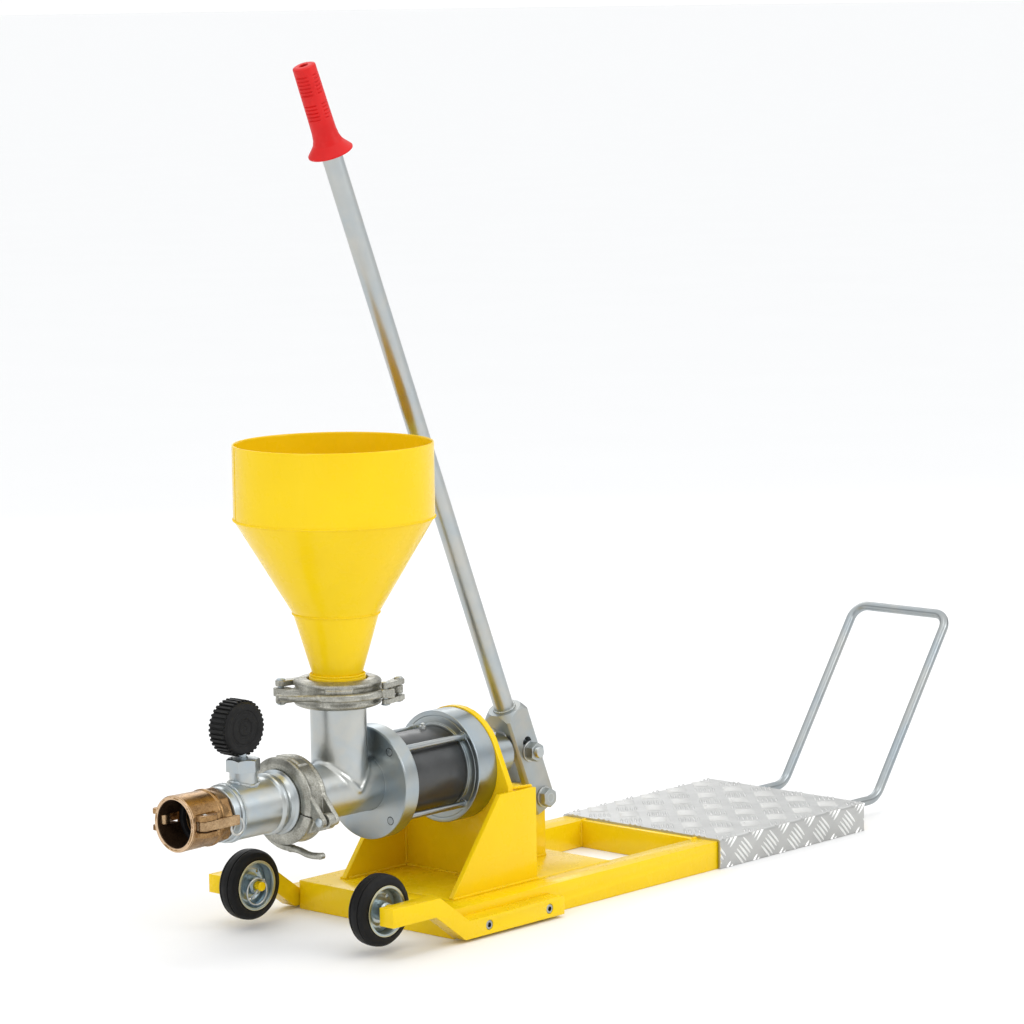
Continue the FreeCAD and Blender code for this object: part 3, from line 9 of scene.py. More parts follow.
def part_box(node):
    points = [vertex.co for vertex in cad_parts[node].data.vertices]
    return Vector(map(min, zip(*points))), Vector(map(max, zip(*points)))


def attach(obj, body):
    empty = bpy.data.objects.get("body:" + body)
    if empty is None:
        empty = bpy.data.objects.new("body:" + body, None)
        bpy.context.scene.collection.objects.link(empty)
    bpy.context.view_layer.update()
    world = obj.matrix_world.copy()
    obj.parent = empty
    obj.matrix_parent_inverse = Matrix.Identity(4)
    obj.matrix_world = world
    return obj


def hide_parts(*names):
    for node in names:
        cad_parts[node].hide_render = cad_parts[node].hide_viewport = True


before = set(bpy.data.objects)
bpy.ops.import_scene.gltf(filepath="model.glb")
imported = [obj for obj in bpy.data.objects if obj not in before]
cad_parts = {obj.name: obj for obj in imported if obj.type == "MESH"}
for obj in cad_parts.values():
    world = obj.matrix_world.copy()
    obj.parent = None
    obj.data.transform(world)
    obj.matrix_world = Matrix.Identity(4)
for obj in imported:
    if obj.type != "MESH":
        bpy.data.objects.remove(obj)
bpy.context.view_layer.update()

scene = bpy.context.scene

# Grout pump with hand lever. Sizes in this file are millimetres; meshes and the sizes of
# the node trees are metres. X runs to the tow handle, Y along the wheel axles, Z up,
# origin on the floor.
MM = 0.001
TINY = 1e-6         # millimetres
MERGE_GAP = 1e-7    # metres
PUMP_Z = 198
PUMP_AXIS = (0, 0, PUMP_Z)
HOPPER_X = -83
HOPPER_CLAMP_Z = 330.5
OUTLET_CLAMP_X = -180.5
PIPE_RADIUS = 38
PIPE_WALL = 3.6
PIPE_BORE = PIPE_RADIUS - PIPE_WALL
COLLAR_RADIUS = 47.5
TUBE_RADIUS = 57
FLANGE_RADIUS = 78
DECK_Z = 40
AXLE_X = -137.7
AXLE_Z = 58.5
WHEEL_MIDDLE = 122.75
BOSS_X = -261
GAUGE_Z = 305.3
MOUTH_X = -386
PIVOT = (300, 0, 128)
LEVER_LEAN = 22.2
ROD_PIN_X = 271.43

# Local X, Y of a flat piece laid on the world's X and Z, or on its Y and Z.
SIDEWAYS = Matrix(((1, 0, 0, 0), (0, 0, -1, 0), (0, 1, 0, 0), (0, 0, 0, 1)))
ENDWAYS = Matrix(((0, 0, 1, 0), (1, 0, 0, 0), (0, 1, 0, 0), (0, 0, 0, 1)))


def metres(spot):
    return Vector(spot) * MM


# Node graphs, for the finishes and for everything that repeats

class Graph:
    """Node tree whose nodes are added together with what feeds their inputs."""

    def __init__(self, tree):
        self.nodes = tree.nodes
        self.links = tree.links

    def feed(self, socket, value):
        if isinstance(value, bpy.types.NodeSocket):
            self.links.new(value, socket)
        else:
            socket.default_value = value

    def add(self, kind, feeds=None, **settings):
        node = self.nodes.new(kind)
        for name, value in settings.items():
            setattr(node, name, value)
        for key, value in (feeds or {}).items():
            self.feed(node.inputs[key], value)
        return node

    def maths(self, operation, first, second=0.0):
        return self.add("ShaderNodeMath", {0: first, 1: second},
                        operation=operation).outputs[0]


# Finishes

class Board(Graph):
    """Shader board of one finish."""

    def __init__(self, name, colour, metal, rough):
        self.material = bpy.data.materials.new(name)
        self.material.use_nodes = True
        super().__init__(self.material.node_tree)
        self.shader = self.nodes["Principled BSDF"]
        self.set("Base Color", (*colour, 1))
        self.set("Metallic", metal)
        self.set("Roughness", rough)
        self.place = self.add("ShaderNodeTexCoord").outputs["Object"]

    def set(self, socket, value):
        self.feed(self.shader.inputs[socket], value)

    def noise(self, scale, detail=3.0, rough=0.5, warp=0.0, place=None):
        return self.add("ShaderNodeTexNoise", {
            "Vector": place or self.place, "Scale": scale, "Detail": detail,
            "Roughness": rough, "Distortion": warp}).outputs["Fac"]

    def stretched(self, scale, lean=0.0):
        """Place drawn out along X after a turn about Y by a lean in degrees."""
        turn = self.add("ShaderNodeMapping", {
            "Vector": self.place, "Rotation": (0.0, math.radians(lean), 0.0)})
        return self.add("ShaderNodeMapping", {
            "Vector": turn.outputs["Vector"], "Scale": scale}).outputs["Vector"]

    def lines(self, along, scale, detail=2.0):
        return self.add("ShaderNodeTexNoise", {
            "W": along, "Scale": scale, "Detail": detail},
            noise_dimensions="1D").outputs["Fac"]

    def cells(self, scale):
        return self.add("ShaderNodeTexVoronoi", {
            "Vector": self.place, "Scale": scale}).outputs["Distance"]

    def span(self, value, low=0.3, high=0.7, start=0.0, end=1.0):
        """Value between low and high taken to start and end; noise fills 0.3 to 0.7."""
        return self.add("ShaderNodeMapRange", {
            "Value": value, "From Min": low, "From Max": high, "To Min": start,
            "To Max": end}).outputs["Result"]

    def blend(self, share, *colours):
        first, second = [colour if isinstance(colour, bpy.types.NodeSocket)
                         else (*colour, 1) for colour in colours]
        return self.add("ShaderNodeMix", {0: share, 6: first, 7: second},
                        data_type="RGBA").outputs[2]

    def letter(self, name):
        return self.add("ShaderNodeSeparateXYZ", {0: self.place}).outputs[name]

    def radius(self, letters, middle):
        """Distance from an axis through a point in millimetres, in the plane of two letters."""
        squares = []
        for letter, offset in zip(letters, middle):
            gap = self.maths("SUBTRACT", self.letter(letter), offset * MM)
            squares.append(self.maths("MULTIPLY", gap, gap))
        return self.maths("SQRT", self.maths("ADD", *squares))

    def bump(self, height, depth, after=None):
        """Bump of a height from 0 to 1; depth is in millimetres."""
        feeds = {"Strength": 1.0, "Distance": depth * MM, "Height": height}
        if after is not None:
            feeds["Normal"] = after
        return self.add("ShaderNodeBump", feeds).outputs["Normal"]

    def lumps(self, scale, detail, depth, after=None):
        return self.bump(self.noise(scale, detail), depth, after)

    def colour(self, share, first, second):
        self.set("Base Color", self.blend(share, first, second))

    def roughness(self, low, high, *grain):
        """Roughness that wanders between two values with a noise of a grain."""
        self.set("Roughness", self.span(self.noise(*grain), start=low, end=high))

    def varnish(self, specular, coat=0.0, rough=0.0):
        """Strength of the reflection and, where there is one, of a clear coat."""
        self.set("Specular IOR Level", specular)
        if coat:
            self.set("Coat Weight", coat)
            self.set("Coat Roughness", rough)


def make_yellow_paint():
    """Thick gloss paint with orange peel and a few dull scuffs."""
    board = Board("yellow_paint", (0.93, 0.62, 0.01), 0.0, 0.3)
    tone = board.span(board.noise(7, 2), 0.35, 0.65)
    colour = board.blend(tone, (0.855, 0.575, 0.003), (0.885, 0.612, 0.005))
    scuff = board.span(board.noise(60, 6, 0.7), 0.70, 0.76, 0.0, 0.25)
    board.colour(scuff, colour, (0.74, 0.47, 0.02))
    board.roughness(0.22, 0.34, 35, 5, 0.6)
    peel = board.lumps(420, 2, 0.03)
    board.set("Normal", board.lumps(45, 2, 0.12, peel))
    board.varnish(0.16, 0.16, 0.07)
    return board.material


ALONG_X = (0.06, 1, 1)


def make_zinc(name, cool, warm, rough, turned=False, lean=0.0, drawn=0.0):
    """Zinc plating: bluish and straw tones, drawing lines, optional turning marks."""
    board = Board(name, cool, 1.0, rough)
    tone = board.span(board.noise(14, 3, 0.6, 0.6), 0.38, 0.62)
    cloud = board.span(board.noise(60, 3, 0.55), 0.35, 0.8, 0.0, 0.25)
    colour = board.blend(tone, cool, warm)
    dull = tuple(part * 0.8 for part in cool)
    board.colour(cloud, colour, dull)
    board.roughness(rough - 0.02, rough + 0.05, 40, 2, 0.5)
    grain = board.noise(1400, 3, 0.7, place=board.stretched(ALONG_X, lean))
    soft = board.lumps(26, 1, 0.03, board.bump(grain, drawn))
    if turned:
        rings = board.lines(board.radius("YZ", (0, PUMP_Z)), 1300, 3)
        turns = board.lines(board.letter("X"), 1300, 3)
        soft = board.bump(rings, 0.014, board.bump(turns, 0.014, soft))
    board.set("Normal", soft)
    return board.material


def make_polished_steel():
    board = Board("polished_steel", (0.80, 0.81, 0.82), 1.0, 0.12)
    board.roughness(0.08, 0.18, 300, 4)
    board.set("Normal", board.bump(board.lines(board.letter("X"), 2500), 0.004))
    return board.material


def make_cylinder_coating():
    """Dark grey tube: satin gloss, faintly cloudy."""
    board = Board("cylinder_coating", (0.075, 0.077, 0.078), 0.6, 0.3)
    cloud = board.span(board.noise(25, 4, 0.6), 0.35, 0.7)
    board.colour(cloud, (0.058, 0.060, 0.061), (0.080, 0.082, 0.083))
    board.roughness(0.28, 0.38, 60, 4, 0.6)
    board.set("Normal", board.bump(board.lines(board.letter("X"), 900, 2), 0.003))
    board.varnish(0.5, 0.1, 0.25)
    return board.material


def make_casting(name, dark, light, rough, metal, depth):
    """Rough cast metal: sand grain, pits and darker patches."""
    board = Board(name, light, metal, rough)
    patches = board.noise(45, 5, 0.6)
    grain = board.noise(520, 4, 0.7)
    share = board.span(board.maths("ADD", patches, grain), 0.75, 1.2)
    board.colour(share, dark, light)
    board.set("Roughness", board.span(grain, 0.3, 0.7, rough + 0.14, rough - 0.08))
    pits = board.span(board.cells(420), 0.0, 0.35)
    sand = board.bump(grain, depth)
    worn = board.bump(pits, depth * 0.6, sand)
    board.set("Normal", board.lumps(150, 3, depth * 2.5, worn))
    return board.material


def make_machined_bronze():
    board = Board("machined_bronze", (0.62, 0.44, 0.28), 1.0, 0.3)
    rings = board.lines(board.radius("YZ", (0, PUMP_Z)), 1400, 3)
    board.colour(rings, (0.55, 0.37, 0.22), (0.72, 0.53, 0.36))
    board.roughness(0.24, 0.4, 250, 4)
    board.set("Normal", board.bump(rings, 0.02))
    return board.material


def make_rubber(name, colour, rough, scale, depth):
    board = Board(name, colour, 0.0, rough)
    dust = board.span(board.noise(40, 5, 0.7), 0.45, 0.8, 0.0, 0.35)
    pale = tuple(min(1.0, part * 2.2 + 0.01) for part in colour)
    board.colour(dust, colour, pale)
    board.roughness(rough - 0.08, rough + 0.1, 120, 4)
    board.set("Normal", board.lumps(scale, 3, depth))
    board.varnish(0.2)
    return board.material


def make_tyre_rubber():
    """Solid tyre: black and dusty, with moulding rings on the walls."""
    board = Board("tyre_rubber", (0.012, 0.012, 0.013), 0.0, 0.5)
    rings = board.lines(board.radius("XZ", (AXLE_X, AXLE_Z)), 900, 2)
    dust = board.span(board.noise(60, 5, 0.7), 0.5, 0.8, 0.0, 0.5)
    board.colour(dust, (0.004, 0.004, 0.004), (0.012, 0.011, 0.010))
    board.roughness(0.42, 0.6, 140, 4)
    board.varnish(0.22)
    fine = board.bump(rings, 0.08)
    board.set("Normal", board.lumps(700, 3, 0.03, fine))
    return board.material


def make_grip_plastic():
    board = Board("red_grip", (0.56, 0.012, 0.012), 0.0, 0.46)
    tone = board.span(board.noise(30, 4), 0.35, 0.7)
    board.colour(tone, (0.60, 0.008, 0.008), (0.68, 0.014, 0.013))
    board.roughness(0.36, 0.52, 160, 4)
    board.set("Normal", board.lumps(900, 3, 0.03))
    board.varnish(0.25)
    return board.material


def make_tread_metal(name, light, dark, rough):
    """Rolled aluminium sheet, lightly scratched along its length."""
    board = Board(name, light, 0.95, rough)
    along = board.noise(300, 4, 0.6, place=board.stretched(ALONG_X))
    cloud = board.span(board.noise(22, 4, 0.6), 0.35, 0.7)
    colour = board.blend(cloud, light, tuple(0.88 * part for part in light))
    board.colour(board.span(along, 0.6, 0.8, 0.0, 0.4), colour, dark)
    board.roughness(rough - 0.06, rough + 0.08, 120, 5, 0.7)
    board.set("Normal", board.bump(along, 0.02, board.lumps(220, 3, 0.05)))
    return board.material


def make_clear_glass():
    board = Board("clear_glass", (1.0, 1.0, 1.0), 0.0, 0.03)
    board.set("Transmission Weight", 1.0)
    board.set("IOR", 1.45)
    board.roughness(0.01, 0.05, 200, 4)
    board.set("Normal", board.lumps(25, 2, 0.01))
    return board.material


def make_plastic(name, colour, rough):
    board = Board(name, colour, 0.0, rough)
    tone = board.span(board.noise(120, 4), 0.3, 0.7)
    dim = tuple(part * 0.86 for part in colour)
    board.colour(tone, colour, dim)
    board.roughness(rough - 0.05, rough + 0.08, 90, 4)
    board.set("Normal", board.lumps(1000, 2, 0.01))
    return board.material


YELLOW = make_yellow_paint()
ZINC = make_zinc("zinc_plate", (0.43, 0.485, 0.52), (0.50, 0.505, 0.475), 0.31)
BRIGHT_ZINC = make_zinc("bright_zinc", (0.52, 0.56, 0.58), (0.56, 0.55, 0.51), 0.3)
BLUE_ZINC = make_zinc("blue_zinc", (0.38, 0.47, 0.52), (0.47, 0.50, 0.47), 0.3)
# Bright straw-tinted zinc for the rim lips only: painted highlight and yellow reflection on the
# rim edges.
RIM_LIP_HIGHLIGHT = make_zinc("rim_lip_painted_highlight", (0.62, 0.60, 0.42), (0.66, 0.62, 0.38), 0.3)
TURNED_ZINC = make_zinc("turned_zinc", (0.36, 0.41, 0.44), (0.42, 0.43, 0.405), 0.3, True)
FLAT_ZINC = make_zinc("flat_zinc", (0.38, 0.425, 0.445), (0.43, 0.43, 0.40), 0.42,
                      drawn=0.003)
TUBE_ZINC = make_zinc("tube_zinc", (0.44, 0.475, 0.485), (0.50, 0.50, 0.47), 0.34,
                      lean=-(90 - LEVER_LEAN), drawn=0.003)
BAR_ZINC = make_zinc("bar_zinc", (0.33, 0.37, 0.395), (0.39, 0.40, 0.39), 0.3)
POLISHED = make_polished_steel()
COATING = make_cylinder_coating()
CAST = make_casting("cast_metal", (0.21, 0.205, 0.175), (0.47, 0.465, 0.415), 0.35, 0.92, 0.06)
BRONZE = make_casting("bronze", (0.15, 0.078, 0.030), (0.42, 0.255, 0.112), 0.3, 0.95, 0.03)
ARM_BRONZE = make_casting("arm_bronze", (0.26, 0.16, 0.08), (0.52, 0.36, 0.205), 0.28, 0.95,
                          0.03)
# Near-black bronze for the inside of the coupler bore: painted shade in the recess.
BORE_PAINTED_SHADE = make_casting("bore_painted_shade", (0.035, 0.018, 0.010), (0.13, 0.075, 0.04), 0.4,
                           0.8, 0.05)
MACHINED_BRONZE = make_machined_bronze()
BLACK_RUBBER = make_rubber("black_rubber", (0.008, 0.008, 0.008), 0.55, 600, 0.03)
# Real seals, and also the thin rings round the tie rods at the front flange: painted shade of
# the gap there.
SEAL_RUBBER_AND_GAP_SHADE = make_rubber("seal_rubber_and_gap_shade", (0.015, 0.015, 0.016), 0.6, 400, 0.05)
BALL_RUBBER = make_rubber("ball_rubber", (0.10, 0.035, 0.025), 0.55, 350, 0.04)
TYRE = make_tyre_rubber()
GRIP = make_grip_plastic()
TREAD = make_tread_metal("tread_metal", (0.52, 0.52, 0.505), (0.40, 0.40, 0.39), 0.36)
# Paler copy of the tread metal for the faces that look up: painted light on the top of the
# sheet.
TREAD_TOP_PAINTED_LIGHT = make_tread_metal("tread_top_painted_light", (0.66, 0.66, 0.645), (0.54, 0.54, 0.53), 0.42)
# Near-white copy of the tread metal for the bars on both sides: painted highlight on the side
# bars.
SIDE_BARS_PAINTED_HIGHLIGHT = make_tread_metal("side_bars_painted_highlight", (0.93, 0.93, 0.91), (0.80, 0.80, 0.78), 0.35)
WORN_TREAD = make_tread_metal("worn_tread", (0.62, 0.62, 0.605), (0.46, 0.46, 0.45), 0.32)
GLASS = make_clear_glass()
# Real black plastic, and also the screw sockets: painted shade in their recesses.
BLACK_PLASTIC_AND_SOCKET_SHADE = make_plastic("black_plastic", (0.015, 0.015, 0.016), 0.4)
DIAL_WHITE = make_plastic("dial_white", (0.86, 0.86, 0.84), 0.35)
DIAL_BLACK = make_plastic("dial_black", (0.02, 0.02, 0.02), 0.45)


# Shapes

def placed(name, data):
    """New object in the scene, at the origin."""
    holder = bpy.data.objects.new(name, data)
    scene.collection.objects.link(holder)
    return holder


def shade(mesh, smooth):
    """Smooth faces, sharp where they meet at more than an angle."""
    mesh.shade_smooth()
    mesh.set_sharp_from_angle(angle=math.radians(smooth))


def dress(piece, finish):
    """One finish for the whole piece."""
    piece.data.materials.clear()
    piece.data.materials.append(finish)


def new_piece(name, mesh, finish, smooth=35):
    """Object at the origin from a mesh in place, which keeps its own finishes for None."""
    piece = placed(name, mesh)
    if finish is not None:
        dress(piece, finish)
    shade(mesh, smooth)
    return piece


def closed_mesh(name, bm):
    """Mesh from an open one, which is freed."""
    mesh = bpy.data.meshes.new(name)
    bm.to_mesh(mesh)
    bm.free()
    return mesh


@contextmanager
def edited(mesh):
    """A mesh opened for changes, written back afterwards."""
    bm = bmesh.new()
    bm.from_mesh(mesh)
    yield bm
    bm.to_mesh(mesh)
    bm.free()


def evaluated(holder):
    """Plain mesh of an object as its modifiers, curve or text make it."""
    graph = bpy.context.evaluated_depsgraph_get()
    graph.update()
    return bpy.data.meshes.new_from_object(holder.evaluated_get(graph))


def curve_mesh(name, curve):
    """Plain mesh of a curve or text, which is removed."""
    holder = placed(name, curve)
    mesh = evaluated(holder)
    bpy.data.objects.remove(holder)
    bpy.data.curves.remove(curve)
    return mesh


def drop(piece):
    old = piece.data
    bpy.data.objects.remove(piece)
    bpy.data.meshes.remove(old)


def polar(out, angle, along=0.0):
    """Spot at a distance from local Z; the angle is in radians."""
    return Vector((out * math.cos(angle), out * math.sin(angle), along))


def on(place, spot):
    """World spot of a local one, both in millimetres."""
    return place @ metres(spot) / MM


def corner_at(bm, place, spot):
    return bm.verts.new(place @ metres(spot))


def bridge(bm, here, there, wrap=True, skip=()):
    """Faces between two rows of corners, except at the places to skip."""
    for index in range(len(here) if wrap else len(here) - 1):
        after = (index + 1) % len(here)
        if index not in skip:
            bm.faces.new((here[index], here[after], there[after], there[index]))


def from_bmesh(name, bm, finish, smooth=35, outward=True):
    """Piece from an open mesh, with touching corners merged and faces turned outward."""
    bmesh.ops.remove_doubles(bm, verts=bm.verts, dist=MERGE_GAP)
    if outward:
        bmesh.ops.recalc_face_normals(bm, faces=bm.faces)
    return new_piece(name, closed_mesh(name, bm), finish, smooth)


def settle(piece, smooth=35):
    """Turn live modifiers into plain mesh and remove them."""
    mesh = evaluated(piece)
    old = piece.data
    piece.modifiers.clear()
    piece.data = mesh
    mesh.name = piece.name
    shade(mesh, smooth)
    bpy.data.meshes.remove(old)
    return piece


def rounded(outline, radius, steps=4):
    """Outline with every corner turned into an arc; a point may name its own radius."""
    flat = math.radians(176)
    room = 0.48
    result = []
    for index, point in enumerate(outline):
        size = point[2] if len(point) > 2 else radius
        here = Vector(point[:2])
        before = Vector(outline[index - 1][:2]) - here
        after = Vector(outline[(index + 1) % len(outline)][:2]) - here
        shortest = min(before.length, after.length)
        if size <= 0 or shortest < TINY or before.angle(after) > flat:
            result.append(tuple(here))
            continue
        angle = before.angle(after)
        reach = size / math.tan(angle / 2)
        if reach > room * shortest:
            size *= room * shortest / reach
            reach = room * shortest
        start = here + before.normalized() * reach
        end = here + after.normalized() * reach
        middle = here + (before.normalized() + after.normalized()).normalized() * (
            size / math.sin(angle / 2))
        first = start - middle
        turn = first.angle_signed(end - middle)
        for step in range(steps + 1):
            result.append(tuple(middle + Matrix.Rotation(-turn * (step / steps), 2) @ first))
    return result


def mirrored(half):
    """Outline from the half before its middle, and the same again in mirror image."""
    return half + [(-along, *rest) for along, *rest in reversed(half) if along]


def frame_of(axis, spot):
    """Matrix that puts local Z along an axis letter or vector, at a spot in millimetres."""
    directions = {"x": (1, 0, 0), "y": (0, 1, 0), "z": (0, 0, 1)}
    heading = Vector(directions[axis] if isinstance(axis, str) else axis)
    turn = Vector((0, 0, 1)).rotation_difference(heading).to_matrix().to_4x4()
    return Matrix.Translation(metres(spot)) @ turn


ALONG_PUMP = frame_of("x", PUMP_AXIS)


def braced(points, wrap=True, inset=0.7, least=6.0):
    """The same line with extra points close to both ends of every long stretch."""
    spots = [Vector(point) for point in points]
    result = []
    for index, here in enumerate(spots):
        result.append(here)
        if index + 1 == len(spots) and not wrap:
            break
        run = spots[(index + 1) % len(spots)] - here
        if run.length > least:
            result += [here + run.normalized() * inset,
                       here + run.normalized() * (run.length - inset)]
    return result


def spin(name, outline, place, finish, steps, soft, start=0.0, sweep=360.0):
    """Turned piece from (along, out) points round the local Z of a place."""
    points = rounded(outline, soft) if soft else [tuple(p[:2]) for p in outline]
    points = [tuple(point) for point in braced(points)]
    on_axis = [abs(out) < TINY for along, out in points]
    open_gaps = [index for index in range(len(points))
                 if on_axis[index] and on_axis[(index + 1) % len(points)]]
    whole = sweep == 360
    bm = bmesh.new()
    rings = []
    for step in range(steps if whole else steps + 1):
        angle = math.radians(start + sweep * step / steps)
        rings.append([corner_at(bm, place, polar(out, angle, along))
                      for along, out in points])
    for step in range(steps):
        bridge(bm, rings[step], rings[(step + 1) % len(rings)], skip=open_gaps)
    if not whole:
        bm.faces.new(rings[0])
        bm.faces.new(rings[-1])
    return from_bmesh(name, bm, finish)


def straight_rod(name, start, end, radius, finish, steps=32, soft=0.5):
    """Round bar between two spots, with rounded ends."""
    run = Vector(end) - Vector(start)
    outline = [(0, 0, 0), (0, radius), (run.length, radius), (run.length, 0, 0)]
    return spin(name, outline, frame_of(run, start), finish, steps, soft)


def bent_bar(name, path, radius, finish, steps, bends=0, closed=False):
    """Round bar along a path of spots; bends rounds every inner corner."""
    spots = [Vector(spot) for spot in path]
    if bends:
        spots = curve_corners(spots, bends)
    spots = braced(spots, closed, 1.0, 25.0)
    curve = bpy.data.curves.new(name, "CURVE")
    curve.dimensions = "3D"
    curve.bevel_depth = radius * MM
    curve.bevel_resolution = steps // 4
    curve.use_fill_caps = True
    line = curve.splines.new("POLY")
    line.points.add(len(spots) - 1)
    for point, spot in zip(line.points, spots):
        point.co = (*(spot * MM), 1)
    line.use_cyclic_u = closed
    return new_piece(name, curve_mesh(name, curve), finish)


def curve_corners(spots, radius, steps=10):
    """Path whose inner corners are arcs of one radius."""
    result = [spots[0]]
    for before, here, after in zip(spots, spots[1:], spots[2:]):
        back = before - here
        ahead = after - here
        angle = back.angle(ahead)
        reach = min(radius / math.tan(angle / 2), 0.49 * min(back.length, ahead.length))
        size = reach * math.tan(angle / 2)
        back.normalize()
        ahead.normalize()
        middle = here + (back + ahead).normalized() * (size / math.sin(angle / 2))
        first = here + back * reach - middle
        last = here + ahead * reach - middle
        for step in range(steps + 1):
            spoke = first.normalized().slerp(last.normalized(), step / steps)
            result.append(middle + spoke * size)
    result.append(spots[-1])
    return result


def join_pieces(name, pieces, finish=None, smooth=35):
    """One object from several; each face keeps its finish unless one is given for all."""
    bm = bmesh.new()
    finishes = []
    for piece in pieces:
        start = len(bm.faces)
        bm.from_mesh(piece.data)
        bm.faces.ensure_lookup_table()
        choice = [finish] if finish else list(piece.data.materials)
        for face in bm.faces[start:]:
            own = choice[min(face.material_index, len(choice) - 1)]
            if own not in finishes:
                finishes.append(own)
            face.material_index = finishes.index(own)
    mesh = closed_mesh(name, bm)
    for piece in pieces:
        drop(piece)
    for own in finishes:
        mesh.materials.append(own)
    return new_piece(name, mesh, None, smooth)


def copy_of(node, name, finish):
    """Merged copy of a frame node's mesh."""
    bm = bmesh.new()
    bm.from_mesh(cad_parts[node].data)
    bmesh.ops.remove_doubles(bm, verts=bm.verts, dist=2e-6)
    return new_piece(name, closed_mesh(name, bm), finish)


def softened(node, finish, width, name=None, others=()):
    """Frame node with its sharp edges rolled over, finer where a bevel would stick out."""
    slack = 2e-5
    for share in (1.0, 0.5, 0.2, 0.0):
        piece = copy_of(node, name or node + "_shape", finish)
        for other in others:
            boolean(piece, copy_of(other, "other", finish), "UNION")
        if share == 0.0:
            return piece
        spots = [vertex.co for vertex in piece.data.vertices]
        low = [min(spot[axis] for spot in spots) - slack for axis in range(3)]
        high = [max(spot[axis] for spot in spots) + slack for axis in range(3)]
        with edited(piece.data) as bm:
            bmesh.ops.dissolve_limit(bm, angle_limit=math.radians(1.0), verts=bm.verts,
                                     edges=bm.edges, delimit={"NORMAL"})
        roll_edges(piece, width * share)
        if all(low[axis] < vertex.co[axis] < high[axis]
               for vertex in piece.data.vertices for axis in range(3)):
            return piece
        drop(piece)


def roll_edges(piece, width, steps=2):
    bevel = piece.modifiers.new("edges", "BEVEL")
    bevel.width = width * MM
    bevel.segments = steps
    bevel.limit_method = "ANGLE"
    bevel.angle_limit = math.radians(40)
    bevel.use_clamp_overlap = True
    return settle(piece, 32)


def hull(*rounds):
    """Outline round circles (x, y, radius) and plain points (x, y)."""
    points = []
    for x, y, *radius in rounds:
        reach = radius[0] if radius else 0
        for step in range(36 if radius else 1):
            angle = 2 * math.pi * step / 36
            points.append(Vector((x + reach * math.cos(angle), y + reach * math.sin(angle))))
    return [tuple(points[index]) for index in geometry.convex_hull_2d(points)]


def plate(name, outline, place, low, high, finish, soft=0.0, corner=0.0):
    """Flat piece from an outline in the local XY of a place, between two levels."""
    points = rounded(outline, corner, 5) if corner else outline
    bm = bmesh.new()
    levels = [[corner_at(bm, place, (x, y, level)) for x, y in points]
              for level in (low, high)]
    bridge(bm, *levels)
    for level in levels:
        bm.faces.new(level)
    piece = from_bmesh(name, bm, finish)
    return roll_edges(piece, soft, 3) if soft else piece


def cast(name, pieces, finish, voxel, rounds, grain, smooth=60):
    """Casting: pieces melted together, corners rounded and skin made uneven."""
    piece = join_pieces(name, pieces, finish)
    melt = piece.modifiers.new("melt", "REMESH")
    melt.mode = "VOXEL"
    melt.voxel_size = voxel * MM
    ease = piece.modifiers.new("ease", "SMOOTH")
    ease.factor = 0.5
    ease.iterations = rounds
    settle(piece, smooth)
    moved = []
    for vertex in piece.data.vertices:
        spot = vertex.co / MM
        swell = noise.noise(spot * 0.09) * 0.6 + noise.noise(spot * 0.35) * 0.4
        moved.append(vertex.co + vertex.normal * swell * grain * MM)
    for vertex, spot in zip(piece.data.vertices, moved):
        vertex.co = spot
    dress(piece, finish)
    piece.data.shade_smooth()
    return piece


def boolean(piece, tool, operation):
    """Piece after a cut or union with a tool, which is used up."""
    action = piece.modifiers.new("cut", "BOOLEAN")
    action.operation = operation
    action.solver = "EXACT"
    action.object = tool
    settle(piece)
    drop(tool)
    return piece


def hexagon(name, place, flats, height, finish, bore=0.0, both=False):
    """Hexagon head or nut with turned-off corners, on one or both faces."""
    corner = flats / 2 / math.cos(math.radians(30))
    land = flats / 2 * 0.96
    bm = bmesh.new()
    low, high = [[bm.verts.new(place @ (metres(polar(corner, math.radians(60 * index + 30)))
                                        + Vector((0, 0, level * MM))))
                  for index in range(6)] for level in (0, height)]
    bm.faces.new(low)
    bm.faces.new(high)
    bridge(bm, low, high)
    piece = from_bmesh(name, bm, finish)
    reach = corner + 1
    rise = (reach - land) * math.tan(math.radians(28))
    foot = [(0, 0, 0), (0, land), (rise, reach)] if both else [(-1, 0, 0), (-1, reach)]
    lens = foot + [(height - rise, reach), (height, land), (height, 0, 0)]
    piece = boolean(piece, spin("lens", lens, place, finish, 48, 0), "INTERSECT")
    if bore:
        piece = boolean(piece, drill(place, -1, height + 1, bore, 40), "DIFFERENCE")
    return piece


def drill(place, low, high, radius, steps):
    """Plain cylinder that cuts a hole along the local Z of a place."""
    return spin("hole", [(low, 0, 0), (low, radius), (high, radius), (high, 0, 0)], place,
                None, steps, 0)


def stand_for(piece, body, slot, *nodes):
    """Tie a finished piece to its body and hide the nodes it stands for; the slot is not used.
    """
    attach(piece, body)
    if nodes:
        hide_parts(*nodes)


def stand_softened(node, finish, width, body, slot):
    """A frame node with soft edges, in place of the plain one."""
    stand_for(softened(node, finish, width), body, slot, node)


# Geometry node trees for everything that repeats

